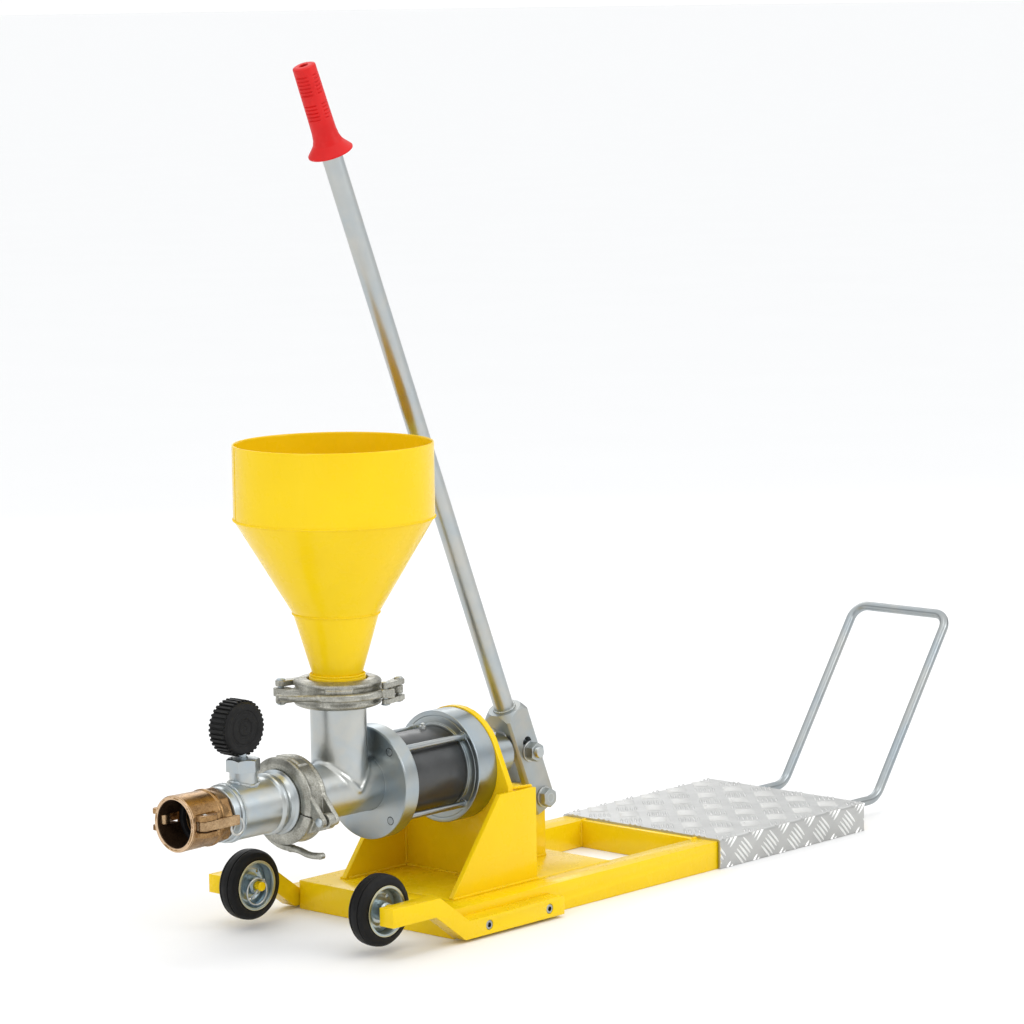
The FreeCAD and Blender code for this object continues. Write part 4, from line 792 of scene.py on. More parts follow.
class Tree(Graph):
    """Geometry node tree with named inputs."""

    def __init__(self, name, **sizes):
        self.group = bpy.data.node_groups.new(name, "GeometryNodeTree")
        super().__init__(self.group)
        face = self.group.interface
        face.new_socket(name="Geometry", in_out="INPUT", socket_type="NodeSocketGeometry")
        face.new_socket(name="Geometry", in_out="OUTPUT", socket_type="NodeSocketGeometry")
        self.keys = {}
        for label, value in sizes.items():
            kind = "NodeSocketInt" if isinstance(value, int) else "NodeSocketFloat"
            socket = face.new_socket(name=label, in_out="INPUT", socket_type=kind)
            socket.default_value = value
            self.keys[label] = socket.identifier
        self.source = self.nodes.new("NodeGroupInput")
        self.target = self.nodes.new("NodeGroupOutput")

    def size(self, label):
        return self.source.outputs[label]

    def triple(self, x, y, z):
        return self.add("ShaderNodeCombineXYZ", {0: x, 1: y, 2: z}).outputs[0]

    def shape(self, kind, feeds, **settings):
        return self.add("GeometryNode" + kind, feeds, **settings).outputs[0]

    def close(self, geometry, finish):
        """Realize, give the finish and send out."""
        real = self.shape("RealizeInstances", {0: geometry})
        dressed = self.shape("SetMaterial", {"Geometry": real, "Material": finish})
        self.feed(self.target.inputs[0], dressed)
        return self

    def grow(self, name, base, smooth, **sizes):
        """Run the tree on a base mesh and return the plain result."""
        holder = placed(name, base)
        change = holder.modifiers.new("grow", "NODES")
        change.node_group = self.group
        for label, value in sizes.items():
            change[self.keys[label]] = value
        return settle(holder, smooth)


def path_mesh(name, spots, closed):
    """Edges through spots, as the base of a weld."""
    count = len(spots)
    edges = [(index, (index + 1) % count) for index in range(count if closed else count - 1)]
    return point_mesh(name, spots, edges)


def point_mesh(name, spots, edges=()):
    mesh = bpy.data.meshes.new(name)
    mesh.from_pydata([metres(spot) for spot in spots], edges, [])
    return mesh


def weld_tree(name, finish):
    """Weld seam: a round fillet with overlapping ripples along an edge path."""
    tree = Tree(name, Radius=0.0025, Pitch=0.0022, Unevenness=0.18, Seed=3)
    line = tree.shape("MeshToCurve", {0: tree.source.outputs[0]})
    even = tree.shape("ResampleCurve", {"Curve": line, "Length": tree.size("Pitch")},
                      mode="LENGTH")
    section = tree.shape("CurvePrimitiveCircle", {
        "Resolution": 8, "Radius": tree.size("Radius")})
    core = tree.shape("CurveToMesh", {
        "Curve": even, "Profile Curve": section, "Fill Caps": True})
    drop_shape = tree.shape("MeshUVSphere", {
        "Segments": 8, "Rings": 6,
        "Radius": tree.maths("MULTIPLY", tree.size("Radius"), 1.12)})
    heading = tree.add("FunctionNodeAlignRotationToVector", {
        "Vector": tree.shape("InputTangent", {})}, axis="Z")
    size = tree.add("FunctionNodeRandomValue", {
        "Seed": tree.size("Seed"),
        2: tree.maths("SUBTRACT", 1.0, tree.size("Unevenness")),
        3: tree.maths("ADD", 1.0, tree.size("Unevenness"))}).outputs[1]
    drops = tree.shape("InstanceOnPoints", {
        "Points": even, "Instance": drop_shape, "Rotation": heading.outputs[0],
        "Scale": tree.triple(size, size, 0.62)})
    both = tree.add("GeometryNodeJoinGeometry", {})
    for part in (core, drops):
        tree.links.new(part, both.inputs[0])
    return tree.close(both.outputs[0], finish)


def bar_tree(name, finish):
    """Pressed bars in groups on a set of points; each point's turn is its stored angle."""
    tree = Tree(name, Length=0.031, Width=0.0040, Height=0.0016, Spacing=0.0069, Bars=5)
    half = tree.maths("MULTIPLY", tree.size("Spacing"), -0.5)
    start = tree.maths("MULTIPLY", half, tree.maths("SUBTRACT", tree.size("Bars"), 1.0))
    row = tree.shape("MeshLine", {
        "Count": tree.size("Bars"), "Start Location": tree.triple(0.0, start, 0.0),
        "Offset": tree.triple(0.0, tree.size("Spacing"), 0.0)})
    ridge = tree.shape("MeshUVSphere", {"Segments": 14, "Rings": 8, "Radius": 0.5})
    bars = tree.shape("InstanceOnPoints", {
        "Points": row, "Instance": ridge,
        "Scale": tree.triple(tree.size("Length"), tree.size("Width"),
                             tree.maths("MULTIPLY", tree.size("Height"), 2.0))})
    turn = tree.shape("InputNamedAttribute", {"Name": "turn"}, data_type="FLOAT_VECTOR")
    spin_to = tree.add("FunctionNodeEulerToRotation", {0: turn})
    groups = tree.shape("InstanceOnPoints", {
        "Points": tree.source.outputs[0], "Instance": bars, "Rotation": spin_to.outputs[0]})
    return tree.close(groups, finish)


def round_tree(name, finish):
    """Bars standing round local Z at a radius, lying along Z."""
    tree = Tree(name, Count=40, Radius=0.035, Width=0.0022, Height=0.003, Length=0.028,
                Rise=0.0)
    ring = tree.shape("MeshCircle", {
        "Vertices": tree.size("Count"), "Radius": tree.size("Radius")})
    raised = tree.shape("SetPosition", {
        "Geometry": ring, "Offset": tree.triple(0.0, 0.0, tree.size("Rise"))})
    block = tree.shape("MeshCube", {"Size": tree.triple(
        tree.size("Height"), tree.size("Width"), tree.size("Length"))})
    flat = tree.add("ShaderNodeVectorMath", {
        0: tree.shape("InputPosition", {}), 1: (1.0, 1.0, 0.0)}, operation="MULTIPLY")
    heading = tree.add("FunctionNodeAlignRotationToVector", {"Vector": flat.outputs[0]},
                       axis="X", pivot_axis="Z")
    ribs = tree.shape("InstanceOnPoints", {
        "Points": raised, "Instance": block, "Rotation": heading.outputs[0]})
    return tree.close(ribs, finish)


YELLOW_WELD = weld_tree("painted_weld", YELLOW)
ZINC_WELD = weld_tree("plated_weld", ZINC)
TREAD_BARS = bar_tree("tread_bars", WORN_TREAD)


def weld(name, tree, spots, radius, closed=False, seed=3, uneven=0.14):
    """Weld bead of a radius along spots; its ripples lie 0.7 radii apart."""
    return tree.grow(name, path_mesh(name, spots, closed), 60, Radius=radius * MM,
                     Pitch=max(radius * 0.7, 1.1) * MM, Seed=seed, Unevenness=uneven)


def ring_path(place, radius, count=72, along=0.0):
    """Spots in millimetres on a circle round the local Z of a place."""
    return [on(place, polar(radius, 2 * math.pi * step / count, along))
            for step in range(count)]


# Frame

def make_frame():
    tubes = softened("front_member", YELLOW, 2.2, "front_and_rails",
                     others=("rail_near", "rail_far"))
    stand_for(tubes, "pump", "yellow_paint", "front_member", "rail_near", "rail_far")
    for node, width in (("cross_members", 2.2), ("base_plate", 0.6), ("shelf_plate", 0.6),
                        ("pivot_lug", 0.8), ("wheel_arm_near", 1.6),
                        ("wheel_arm_far", 1.6)):
        stand_softened(node, YELLOW, width, "pump", "yellow_paint")
    foot = DECK_Z + 0.2
    bearing = plate("bearing_plate_shape", hull((0, PUMP_Z, 80), (98, 174.6), (-98, 174.6),
                                                (98, foot), (-98, foot)),
                    ENDWAYS, 145, 155, YELLOW, 0.9)
    boolean(bearing, drill(ALONG_PUMP, 140, 160, 25.3, 64), "DIFFERENCE")
    stand_for(bearing, "pump", "yellow_paint", "bearing_plate")
    side_outline = [(21, DECK_Z), (193, DECK_Z), (193, 169), (120, 169)]
    for node, low in (("gusset_near", 98), ("gusset_far", -106)):
        gusset = plate(node + "_shape", side_outline, SIDEWAYS, low, low + 8, YELLOW, 0.9,
                       1.5)
        stand_for(gusset, "pump", "yellow_paint", node)
    deck, fine_edge, front, back = DECK_Z + 1, 39.6, 144.2, 155.8
    seams = []
    for side in (-1, 1):
        inner, outer, rail, web = [side * y for y in (97.2, 106.5, 106, 11.5)]
        seams += [
            [(23, outer, deck), (192, outer, deck)],
            [(30, inner, deck), (143, inner, deck)],
            [(front, inner, 44), (front, inner, 160)],
            [(back, inner, 172), (192, inner, 170)],
            [(22, rail, fine_edge), (345, rail, fine_edge)],
            [(525.5, rail, 3), (525.5, rail, 37)],
            [(528, rail, DECK_Z), (564, rail, DECK_Z)],
            [(158, web, deck), (315, web, deck)],
            [(155.5, web, 42), (155.5, web, 158)]]
    seams += [[(x, -half, deck), (x, half, deck)]
              for x, half in ((front, 96), (back, 96), (316.7, 9))]
    beads = []
    for index, seam in enumerate(seams):
        radius, uneven = (0.9, 0.05) if seam[0][2] == fine_edge else (2.0, 0.14)
        beads.append(weld("seam", YELLOW_WELD, seam, radius, seed=index, uneven=uneven))
    stand_for(join_pieces("frame_welds", beads, YELLOW), "pump", "yellow_paint")


def make_arm_screws():
    face, level = 174.5, 16.5
    socket_radius, socket_mouth = 3.25, 3.6
    screws = []
    for side in (-1, 1):
        for x in (21, 142):
            place = frame_of((0, side, 0), (x, face * side, level))
            outline = [(-8, 0, 0), (-8, 6.4), (-0.5, 6.4, 1.0), (-0.5, 3.4, 0.2),
                       (-4.5, 3.3, 0.2), (-4.9, 0, 0)]
            head = spin("head", outline, place, FLAT_ZINC, 40, 0.3)
            bm = bmesh.new()
            bottom, top, mouth = [
                [corner_at(bm, place, polar(out, math.radians(60 * index), along))
                 for index in range(6)]
                for out, along in ((socket_radius, -4.8), (socket_radius, -0.45),
                                   (socket_mouth, -0.45))]
            bm.faces.new(bottom)
            bridge(bm, bottom, top)
            bridge(bm, top, mouth)
            # Black socket walls and floor: painted shade in the recess of the plated head.
            socket = from_bmesh("socket", bm, BLACK_PLASTIC_AND_SOCKET_SHADE, 30, False)
            shank = straight_rod("shank", (x, (face - 8) * side, level),
                                 (x, (face - 31) * side, level), 3.95, ZINC)
            screws += [head, socket, shank]
    stand_for(join_pieces("arm_screw_set", screws), "pump", "zinc_plate", "arm_screws")


def make_tow_handle():
    foot_x, bend_x, half, level, slope = 815, 985, 90, 24, 322
    rise = math.radians(54.1)
    top_x = bend_x + slope * math.cos(rise)
    top_z = level + slope * math.sin(rise)
    near = [Vector(spot) for spot in ((foot_x, -half, level), (bend_x, -half, level),
                                      (top_x, -half, top_z))]
    far = [Vector(spot) for spot in ((top_x, half, top_z), (bend_x, half, level),
                                     (foot_x, half, level))]
    first = curve_corners(near, 36, 14)
    loop = curve_corners([first[-2], near[2], far[0], far[1]], 24, 14)
    last = curve_corners(far, 36, 14)
    bar = bent_bar("tow_bar", first[:-1] + loop[1:-1] + last[1:], 7, BAR_ZINC, steps=32)
    stand_for(bar, "pump", "zinc_plate", "tow_handle")
    rings = [weld("seam", YELLOW_WELD, ring_path(frame_of("x", (874, side * half, level)), 8),
                  1.6, True, 5) for side in (-1, 1)]
    stand_for(join_pieces("tow_welds", rings, YELLOW), "pump", "yellow_paint")


def make_tread_plate():
    start, end, half, top, sheet = 536, 877, 150.5, 43, 3
    outline = [(-half, 0), (-half, top, 4), (half, top, 4), (half, 0), (half - sheet, 0),
               (half - sheet, top - sheet, 1.2), (-half + sheet, top - sheet, 1.2),
               (-half + sheet, 0)]
    sheet_piece = plate("tread_sheet", outline, ENDWAYS, start, end, TREAD, corner=0.3)
    # Faces that look up get the paler copy: painted light on the top; the sides keep the darker
    # tread_metal as painted shade.
    sheet_piece.data.materials.append(TREAD_TOP_PAINTED_LIGHT)
    for face in sheet_piece.data.polygons:
        if face.normal.z > 0.8:
            face.material_index = 1
    bars = [tread_bars(face, start, end, half, top) for face in ("top", "near", "far")]
    whole = join_pieces("tread_sheet_with_bars", [sheet_piece] + bars)
    stand_for(whole, "pump", "tread_metal", "tread_plate")


def tread_bars(face, start, end, half, top):
    """Pressed bars of one face: groups of five on two lattices, cut off at the folds."""
    reach, pitch, slant = 21, 61, math.pi / 4
    spots = []
    turns = []
    for lattice, first_x, first_y in ((1, 590, 7.5), (-1, 559.5, 38)):
        for column in range(-2, 7):
            for row in range(-5, 6):
                x = first_x + pitch * column
                y = first_y + pitch * row
                if not start - reach < x < end + reach:
                    continue
                if face == "top":
                    if abs(y) < half + reach:
                        spots.append((x, y, top))
                        turns.append((0, 0, -slant * lattice))
                    continue
                side = -1 if face == "near" else 1
                down = side * y - half
                if -reach < down < top + reach:
                    spots.append((x, side * half, top - down))
                    turns.append((-side * math.pi / 2, -side * slant * lattice, 0))
    base = point_mesh("tread_points", spots)
    store = base.attributes.new("turn", "FLOAT_VECTOR", "POINT")
    for item, turn in zip(store.data, turns):
        item.vector = turn
    bars = TREAD_BARS.grow("tread_bars", base, 50)
    trim, fold = 0.4, 0.6
    cuts = [((start + trim, 0, 0), (-1, 0, 0)), ((end - trim, 0, 0), (1, 0, 0))]
    if face == "top":
        cuts += [((0, half - fold, 0), (0, 1, 0)), ((0, -half + fold, 0), (0, -1, 0))]
    else:
        # Side bars get the near-white copy: painted highlight.
        dress(bars, SIDE_BARS_PAINTED_HIGHLIGHT)
        cuts += [((0, 0, top - fold), (0, 0, 1)), ((0, 0, trim), (0, 0, -1))]
    with edited(bars.data) as bm:
        for spot, outward in cuts:
            found = bmesh.ops.bisect_plane(
                bm, geom=bm.verts[:] + bm.edges[:] + bm.faces[:], plane_co=metres(spot),
                plane_no=outward, clear_outer=True, dist=MERGE_GAP)
            rim = [item for item in found["geom_cut"]
                   if isinstance(item, bmesh.types.BMEdge)]
            bmesh.ops.holes_fill(bm, edges=rim, sides=0)
    return bars


# Wheels

def make_wheels():
    for label, side in (("near", -1), ("far", 1)):
        body = label + "_wheel"
        place = frame_of("y", (AXLE_X, side * WHEEL_MIDDLE, AXLE_Z))
        outline = mirrored([
            (-13.4, 31.2), (-13.4, 34.4, 0.5), (-14.5, 34.6, 0.4), (-14.5, 38.5, 1.5),
            (-12.6, 44.6, 3), (-8.4, 47.7, 2), (-7.4, 47.5, 0.3), (-6.8, 46.5, 0.2),
            (-6.0, 46.5, 0.2), (-5.4, 48.1, 0.5), (0, 48.5, 8)])
        tyre = spin("tyre_" + label, outline, place, TYRE, 112, 0.8)
        stand_for(tyre, body, "tyre_rubber", label + "_tyre")
        barrel = spin("barrel", [
            (-15.4, 30.6, 0.6), (-15.4, 33.6, 0.7), (-13.9, 33.9, 0.5), (-13.6, 31.2, 1.2),
            (13.6, 31.2, 1.2), (13.9, 33.9, 0.5), (15.4, 33.6, 0.7), (15.4, 30.6, 0.6),
            (12.4, 29.2, 1), (-12.4, 29.2, 1)], place, BLUE_ZINC, 96, 0.4)
        # Rim lips brighter and yellower than the rim: painted highlight and yellow reflection.
        lips = [spin("lip", [(x, 33.2), (x, 34.3, 0.3), (x + 0.9, 34.3, 0.3),
                             (x + 0.9, 33.2)], place, RIM_LIP_HIGHLIGHT, 96, 0.2)
                for x in (-15.5, 14.6)]
        disc = spin("disc", [
            (-1.2, 9.8), (-1.2, 17, 3), (-3.2, 22, 3), (-1.2, 29.4, 1.5),
            (1.2, 29.4, 1.5), (-1.0, 22, 3), (1.2, 17, 3), (1.2, 9.8)],
            place, BLUE_ZINC, 96, 0.3)
        for index in range(5):
            angle = math.radians(72 * index + 20)
            hole = drill(frame_of("y", on(place, polar(21.4, angle))), -9, 9, 2.6, 28)
            boolean(disc, hole, "DIFFERENCE")
        hub = spin("hub", mirrored([
            (-17, 6.6), (-17, 10.4, 0.8), (-14, 12.4, 1), (-4, 13.2, 2)]),
            place, BLUE_ZINC, 64, 0.3)
        rim = join_pieces("rim_" + label, [barrel, disc, hub] + lips)
        stand_for(rim, body, "zinc_plate", label + "_rim")
        tip = side * 97
        shoulder, root = 43.25, 52.5
        axle = spin("axle_" + label, [
            (0, 0, 0), (0, 6.4, 1.2), (shoulder, 6.4, 0.2), (shoulder, 9.8, 0.6),
            (root, 9.8, 0.4), (root, 0, 0)],
            frame_of((0, side, 0), (AXLE_X, tip, AXLE_Z)), YELLOW, 48, 0.4)
        stand_for(axle, "pump", "yellow_paint", "wheel_axles")
        clip_y = side * 102
        ring = []
        for step in range(48):
            across, up = polar(17.8, 2 * math.pi * step / 48).xy
            ring.append((AXLE_X - 6.2 + across, clip_y - side * (0.4 + 0.03 * across),
                         AXLE_Z - 6.2 + up))
        loop = bent_bar("loop", ring, 1.3, BRIGHT_ZINC, closed=True, steps=16)
        leg = straight_rod("leg", (AXLE_X - 15.5, clip_y, AXLE_Z - 15.5),
                           (AXLE_X + 8.4, clip_y, AXLE_Z + 8.4), 1.4, BRIGHT_ZINC, 16)
        clip = join_pieces("clip_" + label, [loop, leg], BRIGHT_ZINC)
        stand_for(clip, "pump", "zinc_plate", "axle_clips")


# Pump cylinder

def make_cylinder():
    front = spin("front_flange_ring", [
        (-35, PIPE_BORE), (-35, 37.7, 0.1), (-34.4, 38.3, 0.1), (-35, 38.9, 0.1),
        (-35, FLANGE_RADIUS, 2.0), (-10, FLANGE_RADIUS, 0.9), (-10, TUBE_RADIUS + 0.1, 0.2),
        (-14, TUBE_RADIUS + 0.1, 0.2), (-14, PIPE_BORE)], ALONG_PUMP, TURNED_ZINC, 144, 0.3)
    stand_for(front, "pump", "zinc_plate", "front_flange")
    rear = spin("rear_flange_ring", [
        (104.5, TUBE_RADIUS + 0.1, 0.2), (104.5, 61, 0.8), (108.5, 61, 0.6),
        (108.5, 70.5, 0.1), (109.0, 71, 0.1), (108.5, 71.5, 0.1),
        (108.5, FLANGE_RADIUS, 1.2), (145, FLANGE_RADIUS, 0.8), (145, 25), (112.5, 25),
        (112.5, TUBE_RADIUS + 0.1, 0.2)], ALONG_PUMP, TURNED_ZINC, 144, 0.3)
    stand_for(rear, "pump", "zinc_plate", "rear_flange")
    tube = spin("cylinder_shell", [
        (-13.9, 50), (-13.9, TUBE_RADIUS), (112.4, TUBE_RADIUS), (112.4, 50)],
        ALONG_PUMP, COATING, 128, 0.4)
    stand_for(tube, "pump", "dark_paint", "cylinder_tube")
    rods = []
    offset = 66.5 * math.cos(math.radians(45))
    for across, up in ((-1, -1), (-1, 1), (1, -1), (1, 1)):
        place = frame_of("x", (0, across * offset, PUMP_Z + up * offset))
        rods.append(spin("tie_rod", [
            (-35.5, 0, 0), (-35.5, 2.2, 0.3), (-35.3, 3.4, 0.4), (-35.45, 4.9, 0.4),
            (-9, 4.9), (-9, 4.4), (107, 4.4), (107, 4.9), (126, 4.9), (126, 0, 0)],
            place, BAR_ZINC, 40, 0.2))
        # Thin black ring round each rod at the flange face: painted shade of the gap there.
        rods.append(spin("gap", [(-35.12, 4.9), (-35.12, 5.9), (-34.8, 5.9), (-34.8, 4.9)],
                         place, SEAL_RUBBER_AND_GAP_SHADE, 32, 0.05))
        for x in (-8.6, 108.7):
            rods.append(spin("collar", [(x - 0.8, 4.5), (x - 0.8, 7.2), (x + 0.8, 7.2),
                                        (x + 0.8, 4.5)], place, ZINC, 28, 0.4))
    stand_for(join_pieces("tie_rod_set", rods), "pump", "zinc_plate", "tie_rods")
    guide = spin("guide_sleeve", [
        (118, 17), (118, 25), (155, 25, 0.2), (155, 28.5, 0.3), (234, 28.5, 1),
        (237, 25.5, 1), (237, 20, 0.4), (231, 20), (231, 14.05), (155, 14.05), (155, 17)],
        ALONG_PUMP, TURNED_ZINC, 96, 0.3)
    stand_for(guide, "pump", "zinc_plate", "rod_guide")
    wiper = spin("wiper_ring", [
        (231, 14.05), (231, 20), (237.2, 20, 0.8), (238.5, 17, 0.8), (238.5, 14.05, 0.2)],
        ALONG_PUMP, SEAL_RUBBER_AND_GAP_SHADE, 72, 0.2)
    stand_for(wiper, "pump", "black_rubber", "rod_wiper")
    nipples = []
    for x, foot in ((80, PUMP_Z + 57), (222, PUMP_Z + 28.5)):
        nipples.append(hexagon("flats", frame_of("z", (x, 0, foot - 0.4)), 8.4, 4.4,
                               BRIGHT_ZINC))
        nipples.append(spin("nipple", [
            (3.6, 0, 0), (3.6, 2.4), (5.2, 2.2, 0.4), (6.2, 3.1, 0.5), (7.2, 2.9, 0.5),
            (7.9, 1.6, 0.4), (7.7, 0, 0)], frame_of("z", (x, 0, foot)), BRIGHT_ZINC, 24,
            0.2))
    stand_for(join_pieces("nipple_pair", nipples, BRIGHT_ZINC), "pump", "zinc_plate",
              "grease_nipples")
    stand_softened("piston_rod", POLISHED, 0.8, "piston", "bright_steel")
    stand_softened("piston_head", TURNED_ZINC, 0.5, "piston", "piston_metal")
    stand_softened("piston_seals", SEAL_RUBBER_AND_GAP_SHADE, 0.4, "piston", "black_rubber")


# Hand lever

LEVER = (Matrix.Translation(metres(PIVOT))
         @ Matrix.Rotation(math.radians(-LEVER_LEAN), 4, "Y"))


def make_bolt_set(name, x, z, nut_near, node, body):
    """Bolt with nut and two washers across the fork, at a spot of the side view."""
    face, seat, flats, head_height, nut_height, stub = 24.3, 26.8, 24, 10, 13, 5
    crest, root, pitch, point = 7.9, 7.3, 2, 1.2
    head_side = 1 if nut_near else -1
    head = frame_of((0, head_side, 0), (x, head_side * seat, z))
    nut = frame_of((0, -head_side, 0), (x, -head_side * seat, z))
    parts = [hexagon("head", head, flats, head_height, FLAT_ZINC),
             hexagon("nut", nut, flats, nut_height, FLAT_ZINC, 7.6, True),
             spin("mark", [(9.9, 5.4), (9.9, 7.2), (10.15, 7.0, 0.05), (10.15, 5.6, 0.05)],
                  head, ZINC, 36, 0.05)]
    end = seat + nut_height + stub
    shank = [(0, 0, 0), (0, 7.0), (point, crest)]
    for turn in range(8):
        foot = point + turn * pitch
        shank += [(foot + pitch / 2, root, 0.2), (foot + pitch, crest, 0.2)]
    shank += [(end + seat, crest), (end + seat, 0, 0)]
    parts.append(spin("shank", shank, frame_of((0, head_side, 0), (x, -head_side * end, z)),
                      ZINC, 32, 0.1))
    for side in (-1, 1):
        parts.append(spin("washer", [(face, 8.2), (face, 15), (seat - 0.2, 15, 0.5),
                                     (seat, 14.2, 0.2), (seat, 8.2)],
                          frame_of((0, side, 0), (x, 0, z)), BRIGHT_ZINC, 48, 0.3))
    stand_for(join_pieces(name, parts), body, "zinc_plate", node)


def make_lever():
    stand_for(make_fork(), "lever", "zinc_plate", "lever_fork")
    seam = weld("fork_seam", ZINC_WELD, ring_path(LEVER, 14.6, 60, 143.4), 1.7, True, 8)
    stand_for(seam, "lever", "zinc_plate")
    bore, radius, seam_radius = 11.5, 14, 14.12
    outline = [(123.2, bore), (123.2, radius), (640, radius, 0), (640.4, seam_radius, 0),
               (641.4, seam_radius, 0), (641.8, radius, 0), (1114.8, radius),
               (1114.8, bore)]
    tube = spin("lever_pipe", outline, LEVER, TUBE_ZINC, 64, 0.3)
    stand_for(tube, "lever", "zinc_plate", "lever_tube")
    stand_for(make_grip(), "lever", "red_grip", "lever_grip")
    make_bolt_set("pivot_bolt_set", PIVOT[0], PIVOT[2], False, "pivot_bolt", "pump")
    make_bolt_set("cross_bolt_set", ROD_PIN_X, PUMP_Z, True, "cross_bolt", "piston")


def make_fork():
    """Square block turned down at the top, gapped below, with a slot for the cross bolt."""
    section = mirrored([(-23, -20.5), (-19.5, -24)]) + [
        (23, 20.5), (19.5, 24), (-19.5, 24), (-23, 20.5)]
    fork = plate("fork_block", section, LEVER, -18, 143, FLAT_ZINC, 0.5)
    lens = [(-20, 0, 0), (-20, 40), (126, 36), (143, 23.2, 1.5), (143.2, 14.3, 0),
            (143.2, 0, 0)]
    boolean(fork, spin("lens", lens, LEVER, FLAT_ZINC, 96, 0), "INTERSECT")
    gap = plate("gap", [(-12, -30, 0), (12, -30, 0), (12, 118, 5), (-12, 118, 5)],
                LEVER @ ENDWAYS, -30, 30, FLAT_ZINC, 0, 0.01)
    boolean(fork, gap, "DIFFERENCE")
    for hole in (hull((0, 67 + 8.9, 8.9), (0, 98 - 8.9, 8.9)), hull((0, 0, 8.1))):
        cutter = plate("hole", hole, LEVER @ SIDEWAYS, -30, 30, FLAT_ZINC)
        boolean(fork, cutter, "DIFFERENCE")
    dress(fork, FLAT_ZINC)
    return fork


def make_grip():
    """Moulded grip: flared guard, slim body and two bands of finger grooves."""
    outer = [(994, 14.1), (994, 29.3), (994.8, 30.4), (996.6, 30.5), (998.8, 28.8),
             (1004, 24.4), (1009, 20.4), (1016, 17.9), (1026, 16.7), (1040, 16.4),
             (1110, 15.7), (1116.8, 15.6), (1117.6, 15.1), (1118.3, 13.6), (1118.9, 12.0),
             (1119, 11)]
    profile = []
    for (low, narrow), (high, wide) in zip(outer, outer[1:]):
        count = max(1, int((high - low) / 0.55))
        for step in range(count):
            share = step / count
            profile.append((low + (high - low) * share, narrow + (wide - narrow) * share))
    profile.append(outer[-1])
    profile += [(1119, 6.6), (1118.2, 5.6), (1115, 5.4), (1115, 14.1)]
    grooves = [1119 - gap for gap in (13, 18, 23, 28, 33, 38, 53, 58, 63, 68, 73)]
    reach, depth, steps = 1.4, 1.5, 144
    bm = bmesh.new()
    rings = []
    for step in range(steps):
        angle = 2 * math.pi * step / steps
        panel = math.cos(4 * (angle - math.radians(242)))
        cover = min(1.0, max(0.0, (0.72 - panel) * 4))
        ring = []
        for along, out in profile:
            gap = min(abs(along - middle) for middle in grooves)
            if out > 14.5 and along > 1030 and gap < reach:
                out -= depth * (0.5 + 0.5 * math.cos(math.pi * gap / reach)) * cover
            ring.append(corner_at(bm, LEVER, polar(out, angle, along)))
        rings.append(ring)
    for step in range(steps):
        bridge(bm, rings[step], rings[(step + 1) % steps])
    plug = spin("tube_end", [(1109, 0, 0), (1109, 5.9), (1112, 5.9), (1112, 0, 0)], LEVER,
                BLACK_PLASTIC_AND_SOCKET_SHADE, 32, 0.2)
    return join_pieces("hand_grip", [from_bmesh("mould", bm, GRIP, 50), plug])


# Pipes and hopper

def pipe_tee_shell(bm, radius, run_start, run_end, branch_end, steps):
    """Run along X and branch along Z of one radius, meeting in two slanting creases."""
    def sleeve(edge):
        """Wall of one arm; edge gives both ends of its line at two offsets from the axis."""
        parts = 8
        grid = []
        for step in range(steps):
            angle = 2 * math.pi * step / steps
            near, far = edge(radius * math.cos(angle), radius * math.sin(angle))
            grid.append([bm.verts.new(metres([a + (b - a) * (part / parts)
                                              for a, b in zip(near, far)]))
                         for part in range(parts + 1)])
        for step in range(steps):
            bridge(bm, grid[step], grid[(step + 1) % steps], False)
        return [line[-1] for line in grid]

    open_ends = [sleeve(lambda y, up: ((HOPPER_X + side * max(up, 0.0), y, PUMP_Z + up),
                                       (far, y, PUMP_Z + up)))
                 for side, far in ((-1, run_start), (1, run_end))]
    open_ends.append(sleeve(lambda y, x: ((HOPPER_X + x, y, PUMP_Z + abs(x)),
                                          (HOPPER_X + x, y, branch_end))))
    return open_ends


def make_tee():
    steps = 128
    collar_x = OUTLET_CLAMP_X + 2
    top = HOPPER_CLAMP_Z - 2
    bm = bmesh.new()
    outer = pipe_tee_shell(bm, PIPE_RADIUS, collar_x, -29, top, steps)
    inner = pipe_tee_shell(bm, PIPE_BORE, collar_x, -29, top, steps)
    for outside, inside in zip(outer, inner):
        bridge(bm, outside, inside)
    parts = [from_bmesh("tee_shell", bm, ZINC, 30)]
    for name, place, foot, back in (
            ("run_collar", ALONG_PUMP, collar_x, 1),
            ("branch_collar", frame_of("z", (HOPPER_X, 0, 0)), top, -1)):
        parts.append(spin(name, [
            (foot, 36), (foot, COLLAR_RADIUS, 1), (foot + 9 * back, COLLAR_RADIUS, 2),
            (foot + 12 * back, 38.2, 2), (foot + 12.5 * back, 36)], place, ZINC, 96, 0.4))
    for side in (-1, 1):
        spots = []
        for step in range(49):
            angle = math.pi * step / 48
            up = PIPE_RADIUS * math.sin(angle)
            spots.append((HOPPER_X + side * up, PIPE_RADIUS * math.cos(angle) * 0.97,
                          PUMP_Z + up))
        parts.append(bent_bar("fillet", spots, 4.0, ZINC, steps=16))
    body = cast("tee_body", parts, ZINC, 1.3, 26, 0.1, 40)
    stand_for(body, "pump", "zinc_plate", "tee_pipe")
    stand_softened("valve_cages", BLACK_PLASTIC_AND_SOCKET_SHADE, 0.5, "pump", "black_plastic")
    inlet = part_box("inlet_ball")
    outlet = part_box("outlet_ball")
    for label, body, (low, high) in (("inlet_ball", "inlet_valve", inlet),
                                     ("outlet_ball", "outlet_valve", outlet)):
        middle = (low + high) / 2 / MM
        radius = 26
        arc = [(-radius * math.cos(math.pi * k / 32), radius * math.sin(math.pi * k / 32))
               for k in range(33)]
        arc[0], arc[-1] = (-radius, 0.0), (radius, 0.0)
        ball = spin(label + "_shape", arc, frame_of("z", middle), BALL_RUBBER, 64, 0)
        stand_for(ball, body, "black_rubber", label)


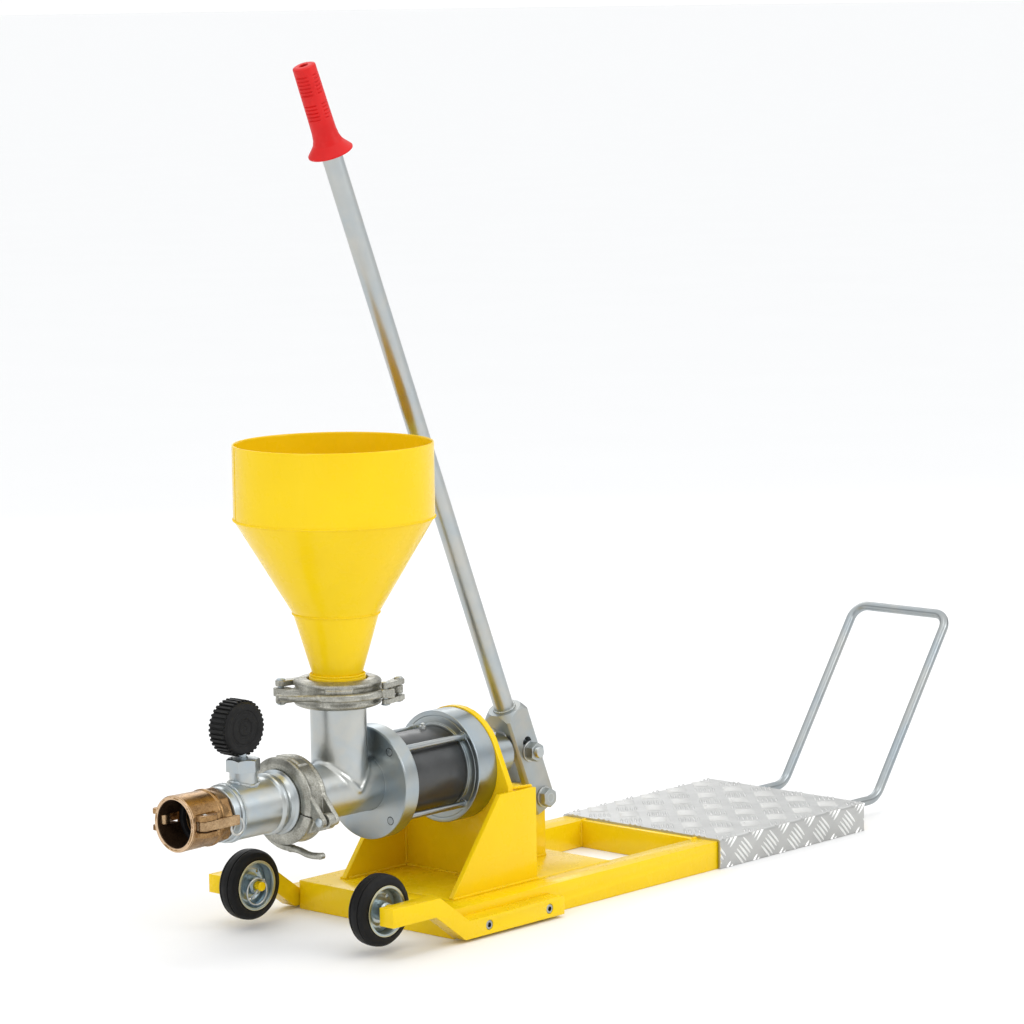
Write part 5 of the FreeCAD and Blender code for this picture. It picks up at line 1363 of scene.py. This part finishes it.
def make_hopper():
    place = frame_of("z", (HOPPER_X, 0, 0))
    bowl = spin("hopper_shell", [
        (437, 55.5, 0.2), (437, 58, 0.3), (565, 134.5, 3), (662.6, 134.5, 0.4),
        (664.9, 134.2, 0.9), (665, 132.6, 0.9), (662.8, 132, 0.4), (565.7, 132, 3)],
        place, YELLOW, 160, 0.4)
    stand_for(bowl, "pump", "yellow_paint", "hopper_bowl")
    spout = spin("hopper_neck", [
        (332.5, 31), (332.5, 47.5, 0.8), (341, 47.5, 2), (344.5, 38.6, 2),
        (351.5, 38.2, 0.8), (353.4, 34.4, 1.2), (355, 33.9, 0.3), (437, 58, 0.3),
        (437, 55.5, 0.2), (353, 31, 1)], place, YELLOW, 128, 0.4)
    stand_for(spout, "pump", "yellow_paint", "hopper_spout")
    seams = [
        weld("seam", YELLOW_WELD, ring_path(place, 134.1, 200, 565), 1.6, True, 21, 0.03),
        weld("seam", YELLOW_WELD, ring_path(place, 57.8, 120, 437), 1.7, True, 22, 0.03),
        weld("seam", YELLOW_WELD, ring_path(place, 35.6, 90, 353.6), 1.9, True, 23, 0.08),
        weld("seam", YELLOW_WELD, [on(place, polar(134.4, 2.6, z)) for z in (566, 663)],
             0.8, seed=24)]
    stand_for(join_pieces("hopper_welds", seams, YELLOW), "pump", "yellow_paint")


# Clamp couplings

CLAMP_PLACES = {
    "hopper": (Matrix.Translation(metres((HOPPER_X, 0, HOPPER_CLAMP_Z)))
               @ Matrix.Rotation(math.radians(-47.6), 4, "Z")),
    "outlet": (Matrix.Translation(metres((OUTLET_CLAMP_X, 0, PUMP_Z)))
               @ ENDWAYS @ Matrix.Rotation(math.radians(15), 4, "Z")),
}


def clamp_shell(name, place, groove, start):
    """Half ring of channel section with a raised rib along both outer edges."""
    mouth, depth = 40.8, 48.5
    outline = mirrored([(-19, mouth, 1.5), (-19, 50.5, 4), (-16, 57.8, 3), (-13, 59.4, 2.4),
                        (-9.5, 57.8, 3)])
    outline += [(groove, mouth), (groove, depth), (-groove, depth), (-groove, mouth)]
    return spin(name, outline, place, CAST, 72, 0.5, start=start, sweep=178.8)


def domed_pin(name, place, x, y, half, head=3.0):
    """Pin with a domed head at both ends, across a clamp at a spot of its plane."""
    outline = mirrored([(-half - head, 0, 0), (-half - head + 0.1, 3.2, 1.2),
                        (-half - head / 2, 6, 1.2), (-half, 6.2, 0.3), (-half, 3.9)])
    return spin(name, outline, place @ Matrix.Translation(metres((x, y, 0))), ZINC, 32, 0.3)


def make_clamps():
    pins = []
    for prefix, place in CLAMP_PLACES.items():
        parts = [clamp_shell("shell", place, 14, 0.6)]
        for low, high in ((7.9, 15.6), (-15.6, -7.9)):
            parts.append(plate("ear", hull((-76, 0, 7.8), (-59, 3), (-50, 28)), place,
                               low, high, CAST))
        parts.append(plate("eye", hull((81, 8, 6.2), (59, 4), (50, 28)), place, -5.4, 5.4,
                           CAST))
        parts.append(spin("pad", [(-8, 54), (-8, 59), (-6.6, 60.2), (6.6, 60.2), (8, 59),
                                  (8, 54)], place, CAST, 24, 0.6, start=62, sweep=44))
        half = cast(prefix + "_clamp_half", parts, CAST, 0.9, 6, 0.25)
        stand_for(half, "pump", "cast_metal", prefix + "_clamp_fixed_half")

        parts = [clamp_shell("shell", place, 14.4, 180.6)]
        parts.append(plate("knuckle", hull((-76, 0, 10.6), (-59, -4), (-48, -30)), place,
                           -5.6, 5.6, CAST))
        parts.append(plate("catch", [(53.5, -2, 0), (72.5, -2, 2), (74, -8, 2),
                                     (73, -15, 2), (53.5, -15, 0)], place, -6.4, 6.4, CAST,
                           0, 0.01))
        parts.append(spin("pad", [(2.6, 54), (2.6, 59.6), (3.8, 60.8), (8.4, 60.8),
                                  (9.6, 59.6), (9.6, 54)], place, CAST, 24, 0.5,
                          start=256, sweep=36))
        half = cast(prefix + "_clamp_jaw_shape", parts, CAST, 0.9, 6, 0.25)
        stand_for(half, prefix + "_clamp_jaw", "cast_metal", prefix + "_clamp_swing_half")

        toggle = prefix + "_clamp_toggle"
        node = prefix + "_clamp_lever"
        links = [plate("link", hull((81, 8, 8.4), (65, -25.5, 5.6)), place, low, high, CAST)
                 for low, high in ((7.2, 14.2), (-14.2, -7.2))]
        links = cast("links", links, CAST, 0.7, 5, 0.16)
        parts = [plate("lug", hull((64.5, -25.5, 6.6), (72, -24.8, 5)), place, -6.2, 6.2,
                       CAST)]
        parts.append(spin("band", [(-5.2, 61.0, 2), (-5.2, 69.6, 3.4), (5.2, 69.6, 3.4),
                                   (5.2, 61.0, 2)], place, CAST, 60, 0.5, start=-112,
                          sweep=90))
        path = [on(place, (x, y, 0)) for x, y in (
            (-18.5, -64), (-27, -60.6), (-38, -58.6), (-51, -58.4), (-63, -55.8),
            (-76, -50.8))]
        parts.append(bent_bar("tail", path, 4.7, CAST, bends=30, steps=24))
        parts.append(plate("tail_end", hull((-76, -50.8, 4.4)), place, -4.4, 4.4, CAST))
        bar = cast("handle", parts, CAST, 0.8, 4, 0.16)
        bar = join_pieces(prefix + "_clamp_handle", [bar, links], CAST, 60)
        stand_for(bar, toggle, "cast_metal", node)
        stand_for(domed_pin(prefix + "_link_pin", place, 64.5, -25.5, 14.2, 2.2), toggle,
                  "cast_metal", node)
        pins.append(domed_pin("pin", place, -76, 0, 15.5))
        pins.append(domed_pin("pin", place, 81, 8, 14.3))
    stand_for(join_pieces("clamp_pin_set", pins, ZINC), "pump", "cast_metal", "clamp_pins")
    stand_softened("clamp_seals", SEAL_RUBBER_AND_GAP_SHADE, 0.5, "pump", "black_rubber")


# Outlet pipe and gauge

def make_outlet():
    start = OUTLET_CLAMP_X - 2
    pipe = spin("outlet_pipe", [
        (start, PIPE_BORE), (start, COLLAR_RADIUS, 1), (start - 9, COLLAR_RADIUS, 2),
        (start - 12, 40.2, 2), (-199.6, 40.3, 0.5), (-200.4, 43.2, 0.8), (-202.8, 43.4, 1.0),
        (-205.4, 40.6, 3), (-211, 38.2, 3), (-214, PIPE_RADIUS, 0.6), (-216.5, 40.6, 1.5),
        (-219, 41.4, 1.5), (-223, 41.4, 1.5), (-225.5, 40.2, 1.2), (-227, PIPE_RADIUS, 0.8),
        (-295.4, PIPE_RADIUS, 0.6), (-296, 39, 0.8), (-300.6, 39, 0.8), (-301.2, 36.6, 0.5),
        (-311, 36.4, 1), (-312, 33, 1), (-312, 30, 0.3), (-333.5, 29.6, 0.6),
        (-333.5, 26, 0.4), (-312, 26, 0.5), (-292, PIPE_BORE, 2)],
        ALONG_PUMP, ZINC, 128, 0.4)
    boss_place = frame_of("z", (BOSS_X, 0, 0))
    foot = PUMP_Z + 34.8
    boss = spin("boss", [
        (foot, 4), (foot, 18.5), (249, 18.5, 0.4), (250, 18.5, 0.3), (250, 4)],
        boss_place, ZINC, 72, 0.3)
    nut = hexagon("boss_nut", frame_of("z", (BOSS_X, 0, 249)), 40, 17, ZINC, 6.6)
    seam_spots = []
    for step in range(64):
        x, y = polar(19.6, 2 * math.pi * step / 64).xy
        seam_spots.append((BOSS_X + x, y, PUMP_Z + math.sqrt(38.6 ** 2 - y * y)))
    seam = weld("seam", ZINC_WELD, seam_spots, 2.3, True, 31)
    ring_seam = weld("seam", ZINC_WELD, ring_path(frame_of("x", (-293.6, 0, PUMP_Z)),
                                                  38.2, 110), 1.4, True, 32)
    whole = join_pieces("outlet_fitting", [pipe, boss, nut, seam, ring_seam], ZINC)
    stand_for(whole, "pump", "zinc_plate", "outlet_body")


def make_gauge():
    place = frame_of("y", (BOSS_X, 0, GAUGE_Z))
    back = [(-4.4, 0, 0), (-4.4, 3.0), (-5.2, 4.2), (-5.2, 9.0), (-4.4, 10.0), (-4.4, 12.4),
            (-5.4, 13.4), (-5.4, 20.2), (-4.6, 21.2), (-4.6, 23.6), (-5.6, 24.6),
            (-5.6, 26.6), (-6, 28.4), (-6, 32.4, 2.2), (-3.4, 35.0, 1.5), (24.6, 35.0, 1),
            (26, 34.0, 0.8), (26, 31.2, 0.6), (24.4, 30.9), (-2, 30.9), (-2, 0, 0)]
    cup = spin("guard_cup", back, place, BLACK_RUBBER, 128, 0.5)
    stem_hole = straight_rod("stem_hole", (BOSS_X, 0, GAUGE_Z - 40),
                             (BOSS_X, 0, GAUGE_Z - 26), 5.2, BLACK_RUBBER, 40, 0)
    boolean(cup, stem_hole, "DIFFERENCE")
    tree = round_tree("guard_ribs", BLACK_RUBBER)
    ribs = tree.grow("guard_ribs", bpy.data.meshes.new("empty"), 30, Count=34,
                     Radius=0.0357, Width=0.0036, Height=0.0040, Length=0.0272,
                     Rise=0.0111)
    ribs.data.transform(place)
    with edited(ribs.data) as bm:
        crossing = set()
        for face in bm.faces:
            spot = face.calc_center_median() / MM
            if spot.z < GAUGE_Z - 30 and abs(spot.x - BOSS_X) < 7.2 and spot.y < 8:
                crossing.update(face.verts)
        bmesh.ops.delete(bm, geom=list(crossing), context="VERTS")
    bevel = ribs.modifiers.new("edges", "BEVEL")
    bevel.width = 0.0004
    bevel.segments = 1
    settle(ribs, 30)
    guard = join_pieces("gauge_guard_shape", [cup, ribs], BLACK_RUBBER)
    stand_for(guard, "pump", "black_rubber", "gauge_guard")
    case = spin("case", [
        (-1.9, 0, 0), (-1.9, 30.8, 1), (24, 30.8, 0.5), (24, 29.0, 0.6), (22.4, 27.6, 0.4),
        (15, 27.5), (15, 0, 0)], place, POLISHED, 96, 0.3)
    face = spin("face", [(15.02, 0, 0), (15.02, 27.4), (15.35, 27.4), (15.35, 0, 0)],
                place, DIAL_WHITE, 72, 0)
    spindle = spin("spindle", [(15.2, 0, 0), (15.2, 1.15), (18.4, 1.15), (18.4, 0, 0)],
                   place, POLISHED, 24, 0.2)
    marks = []
    rim = 24.4
    for index in range(31):
        angle = math.radians(-135 + 9 * index)
        inner, width = (20.5, 0.45) if index % 5 == 0 else (22.4, 0.22)
        out = Vector((-math.sin(angle), 0, math.cos(angle)))
        side = Vector((math.cos(angle), 0, math.sin(angle)))
        bm = bmesh.new()
        low, high = [[bm.verts.new(metres(Vector((BOSS_X, depth, GAUGE_Z)) + out * along
                                          + side * across))
                      for along, across in ((inner, -width), (inner, width), (rim, width),
                                            (rim, -width))] for depth in (15.3, 15.5)]
        bm.faces.new(low)
        bm.faces.new(high)
        bridge(bm, low, high)
        marks.append(from_bmesh("mark", bm, DIAL_BLACK))
    facing = Matrix(((-1, 0, 0, 0), (0, 0, 1, 0), (0, 1, 0, 0), (0, 0, 0, 1)))
    for index in range(7):
        angle = math.radians(-135 + 45 * index)
        text = bpy.data.curves.new("number", "FONT")
        text.body = str(index * 10)
        text.size = 4.8 * MM
        text.extrude = 0.1 * MM
        text.align_x = "CENTER"
        text.align_y = "CENTER"
        mesh = curve_mesh("number", text)
        spot = metres((BOSS_X - 16.6 * math.sin(angle), 15.45,
                       GAUGE_Z + 16.6 * math.cos(angle)))
        mesh.transform(Matrix.Translation(spot) @ facing)
        marks.append(new_piece("number", mesh, DIAL_BLACK))
    flats = hexagon("flats", frame_of("z", (BOSS_X, 0, 262.8)), 12, 5.0, ZINC)
    stem = straight_rod("stem", (BOSS_X, 0, 256), (BOSS_X, 0, 276), 4.9, ZINC)
    whole = join_pieces("gauge_body", [case, face, spindle, flats, stem] + marks)
    stand_for(whole, "pump", "zinc_plate", "gauge_case")
    lens = spin("gauge_glass", [(22, 0, 0), (22, 27.4), (23.4, 27.4), (24, 24, 3),
                                (24.0, 0, 0)], place, GLASS, 72, 0.2)
    stand_for(lens, "pump", "clear_glass", "gauge_lens")
    stand_softened("gauge_needle", DIAL_BLACK, 0.15, "pointer", "black_plastic")


# Cam lever coupling

def make_coupler():
    place = frame_of("x", (MOUTH_X, 0, PUMP_Z))
    shape = copy_of("coupler_body", "shape", BRONZE)
    edge = spin("edge", [(51.5, 33), (51.5, 37.9), (56.5, 37.9), (56.5, 33)], place,
                BRONZE, 72, 0.6)
    ribs = []
    for side in (-1, 1):
        outline = [(4.5, side * 33), (4.5, side * 45, 1.5), (9, side * 49, 3),
                   (30, side * 49, 3), (35.5, side * 43, 1.5), (35.5, side * 33)]
        for low in (7.4, -14.6):
            ribs.append(plate("rib", outline, Matrix.Translation(metres((MOUTH_X, 0, PUMP_Z))),
                              low, low + 7.2, BRONZE, 0.8, 0.5))
    body = cast("coupler_casting", [shape, edge] + ribs, BRONZE, 0.8, 1, 0.06, 40)
    stand_for(body, "pump", "bronze", "coupler_body")
    mouth = spin("coupler_mouth", [
        (0, 31.9, 0.5), (0, 36.6, 1.0), (2.0, 37.4, 0.8), (3.2, 37.2, 0.5), (3.2, 33),
        (2.0, 31.7)], place, MACHINED_BRONZE, 112, 0.3)
    # Bore in near-black bronze: painted shade inside the coupler.
    bore = spin("coupler_bore", [(2.2, 31.65, 0.2), (2.2, 33), (39.5, 33), (39.5, 31.65, 0.2)],
                place, BORE_PAINTED_SHADE, 112, 0.2)
    for side in (-1, 1):
        bm = bmesh.new()
        bmesh.ops.create_cube(bm, size=1)
        bmesh.ops.scale(bm, vec=metres((33.4, 14, 14)), verts=bm.verts)
        bmesh.ops.translate(bm, vec=metres((MOUTH_X + 22.6, side * 33, PUMP_Z)),
                            verts=bm.verts)
        boolean(bore, from_bmesh("slot", bm, BRONZE), "DIFFERENCE")
    dress(bore, BORE_PAINTED_SHADE)
    stand_for(mouth, "pump", "bronze")
    stand_for(bore, "pump", "bronze")
    stand_softened("coupler_gasket", SEAL_RUBBER_AND_GAP_SHADE, 0.8, "pump", "black_rubber")
    for label, side in (("near", -1), ("far", 1)):
        node = "coupler_lever_" + label
        body = label + "_cam"
        shape = copy_of(node, "lever", BRONZE)
        with edited(shape.data) as bm:
            stack = [vert for vert in bm.verts
                     if abs(vert.co.z - PUMP_Z * MM) > 6.7 * MM
                     or vert.co.x > (MOUTH_X + 74.3) * MM]
            ring_verts = set()
            while stack:
                vert = stack.pop()
                if vert not in ring_verts:
                    ring_verts.add(vert)
                    stack += [edge.other_vert(vert) for edge in vert.link_edges]
            bmesh.ops.delete(bm, geom=list(ring_verts), context="VERTS")
        lever = cast(node + "_shape", [shape], ARM_BRONZE, 0.55, 2, 0.08)
        stand_for(lever, body, "bronze", node)
        centre = (MOUTH_X + 71, side * 43.5, PUMP_Z - 8.5)
        ring = spin("finger_ring_" + label, [
            (1.7 * math.sin(2 * math.pi * k / 16), 11 + 1.7 * math.cos(2 * math.pi * k / 16))
            for k in range(16)], frame_of("y", centre), BRIGHT_ZINC, 56, 0)
        stand_for(ring, body, "zinc_plate", node)
    x, half = MOUTH_X + 17, 15.6
    pins = [straight_rod("pin", (x, y, PUMP_Z - half), (x, y, PUMP_Z + half), 2.95,
                         BRIGHT_ZINC, 24, 0.7) for y in (-40, 40)]
    stand_for(join_pieces("cam_pin_pair", pins, BRIGHT_ZINC), "pump", "pin_steel",
              "coupler_pins")


# Studio

def make_studio():
    floor = bpy.data.meshes.new("studio_floor")
    reach, level = 900.0, -0.0004
    floor.from_pydata([(-reach, -reach, level), (reach, -reach, level),
                       (reach, reach, level), (-reach, reach, level)], [], [(0, 1, 2, 3)])
    board = Board("studio_floor", (0.9, 0.9, 0.9), 0.0, 0.7)
    board.colour(board.noise(2, 2), (0.90, 0.90, 0.90), (0.885, 0.885, 0.885))
    board.varnish(0.1)
    new_piece("studio_floor", floor, board.material)

    world = bpy.data.worlds.new("studio")
    scene.world = world
    world.use_nodes = True
    graph = Graph(world.node_tree)
    sky = graph.add("ShaderNodeTexCoord").outputs["Generated"]
    height = graph.add("ShaderNodeSeparateXYZ", {0: sky}).outputs["Z"]
    ramp = graph.add("ShaderNodeValToRGB", {0: height})
    stops = ramp.color_ramp.elements
    stops[0].position = 0.0
    stops[0].color = (0.80, 0.80, 0.80, 1)
    stops[1].position = 1.0
    stops[1].color = (0.92, 0.92, 0.92, 1)
    for position, level in ((0.14, 0.74), (0.2, 0.22), (0.34, 0.22), (0.43, 0.85),
                            (0.55, 1.0)):
        stop = stops.new(position)
        stop.color = (level * 0.97, level * 0.985, level, 1)
    backdrop = graph.nodes["Background"]
    graph.feed(backdrop.inputs["Color"], ramp.outputs[0])
    graph.feed(backdrop.inputs["Strength"], 1.3)

    softboxes = (
        ("key", (1.6, -3.6, 2.2), (0.2, 0.0, 0.4), (2.2, 1.6), 34),
        ("fill", (-3.6, -0.6, 1.5), (0.0, 0.0, 0.4), (1.0, 1.8), 12),
        ("top", (-0.4, -0.6, 3.6), (0.2, 0.0, 0.3), (1.6, 1.6), 12),
        ("back", (2.4, 2.8, 2.0), (0.3, 0.0, 0.4), (1.6, 1.6), 15),
    )
    for name, spot, aim, size, power in softboxes:
        light = bpy.data.lights.new(name, "AREA")
        light.shape = "RECTANGLE"
        light.size, light.size_y = size
        light.energy = power
        holder = placed(name, light)
        holder.location = spot
        heading = Vector(aim) - Vector(spot)
        holder.rotation_euler = heading.to_track_quat("-Z", "Y").to_euler()


def make_camera():
    """Long lens, seen from the outlet side and slightly above."""
    yaw = math.radians(47.58)
    pitch = math.radians(7.32)
    roll = math.radians(-0.84)
    ahead = Vector((math.sin(yaw) * math.cos(pitch), math.cos(yaw) * math.cos(pitch),
                    -math.sin(pitch)))
    level = Vector((math.cos(yaw), -math.sin(yaw), 0))
    upright = level.cross(ahead)
    right = level * math.cos(roll) + upright * math.sin(roll)
    up = upright * math.cos(roll) - level * math.sin(roll)
    turn = Matrix((right, up, -ahead)).transposed().to_4x4()
    camera = bpy.data.cameras.new("camera")
    camera.sensor_fit = "HORIZONTAL"
    camera.sensor_width = 36
    camera.lens = 139.2
    camera.clip_end = 2000
    holder = placed("camera", camera)
    holder.matrix_world = Matrix.Translation(Vector((-3.7845, -3.7030, 1.2402))) @ turn
    scene.camera = holder
    scene.view_settings.view_transform = "Standard"
    scene.view_settings.look = "None"


make_frame()
make_arm_screws()
make_tow_handle()
make_tread_plate()
make_wheels()
make_cylinder()
make_lever()
make_tee()
make_hopper()
make_clamps()
make_outlet()
make_gauge()
make_coupler()
make_studio()
make_camera()
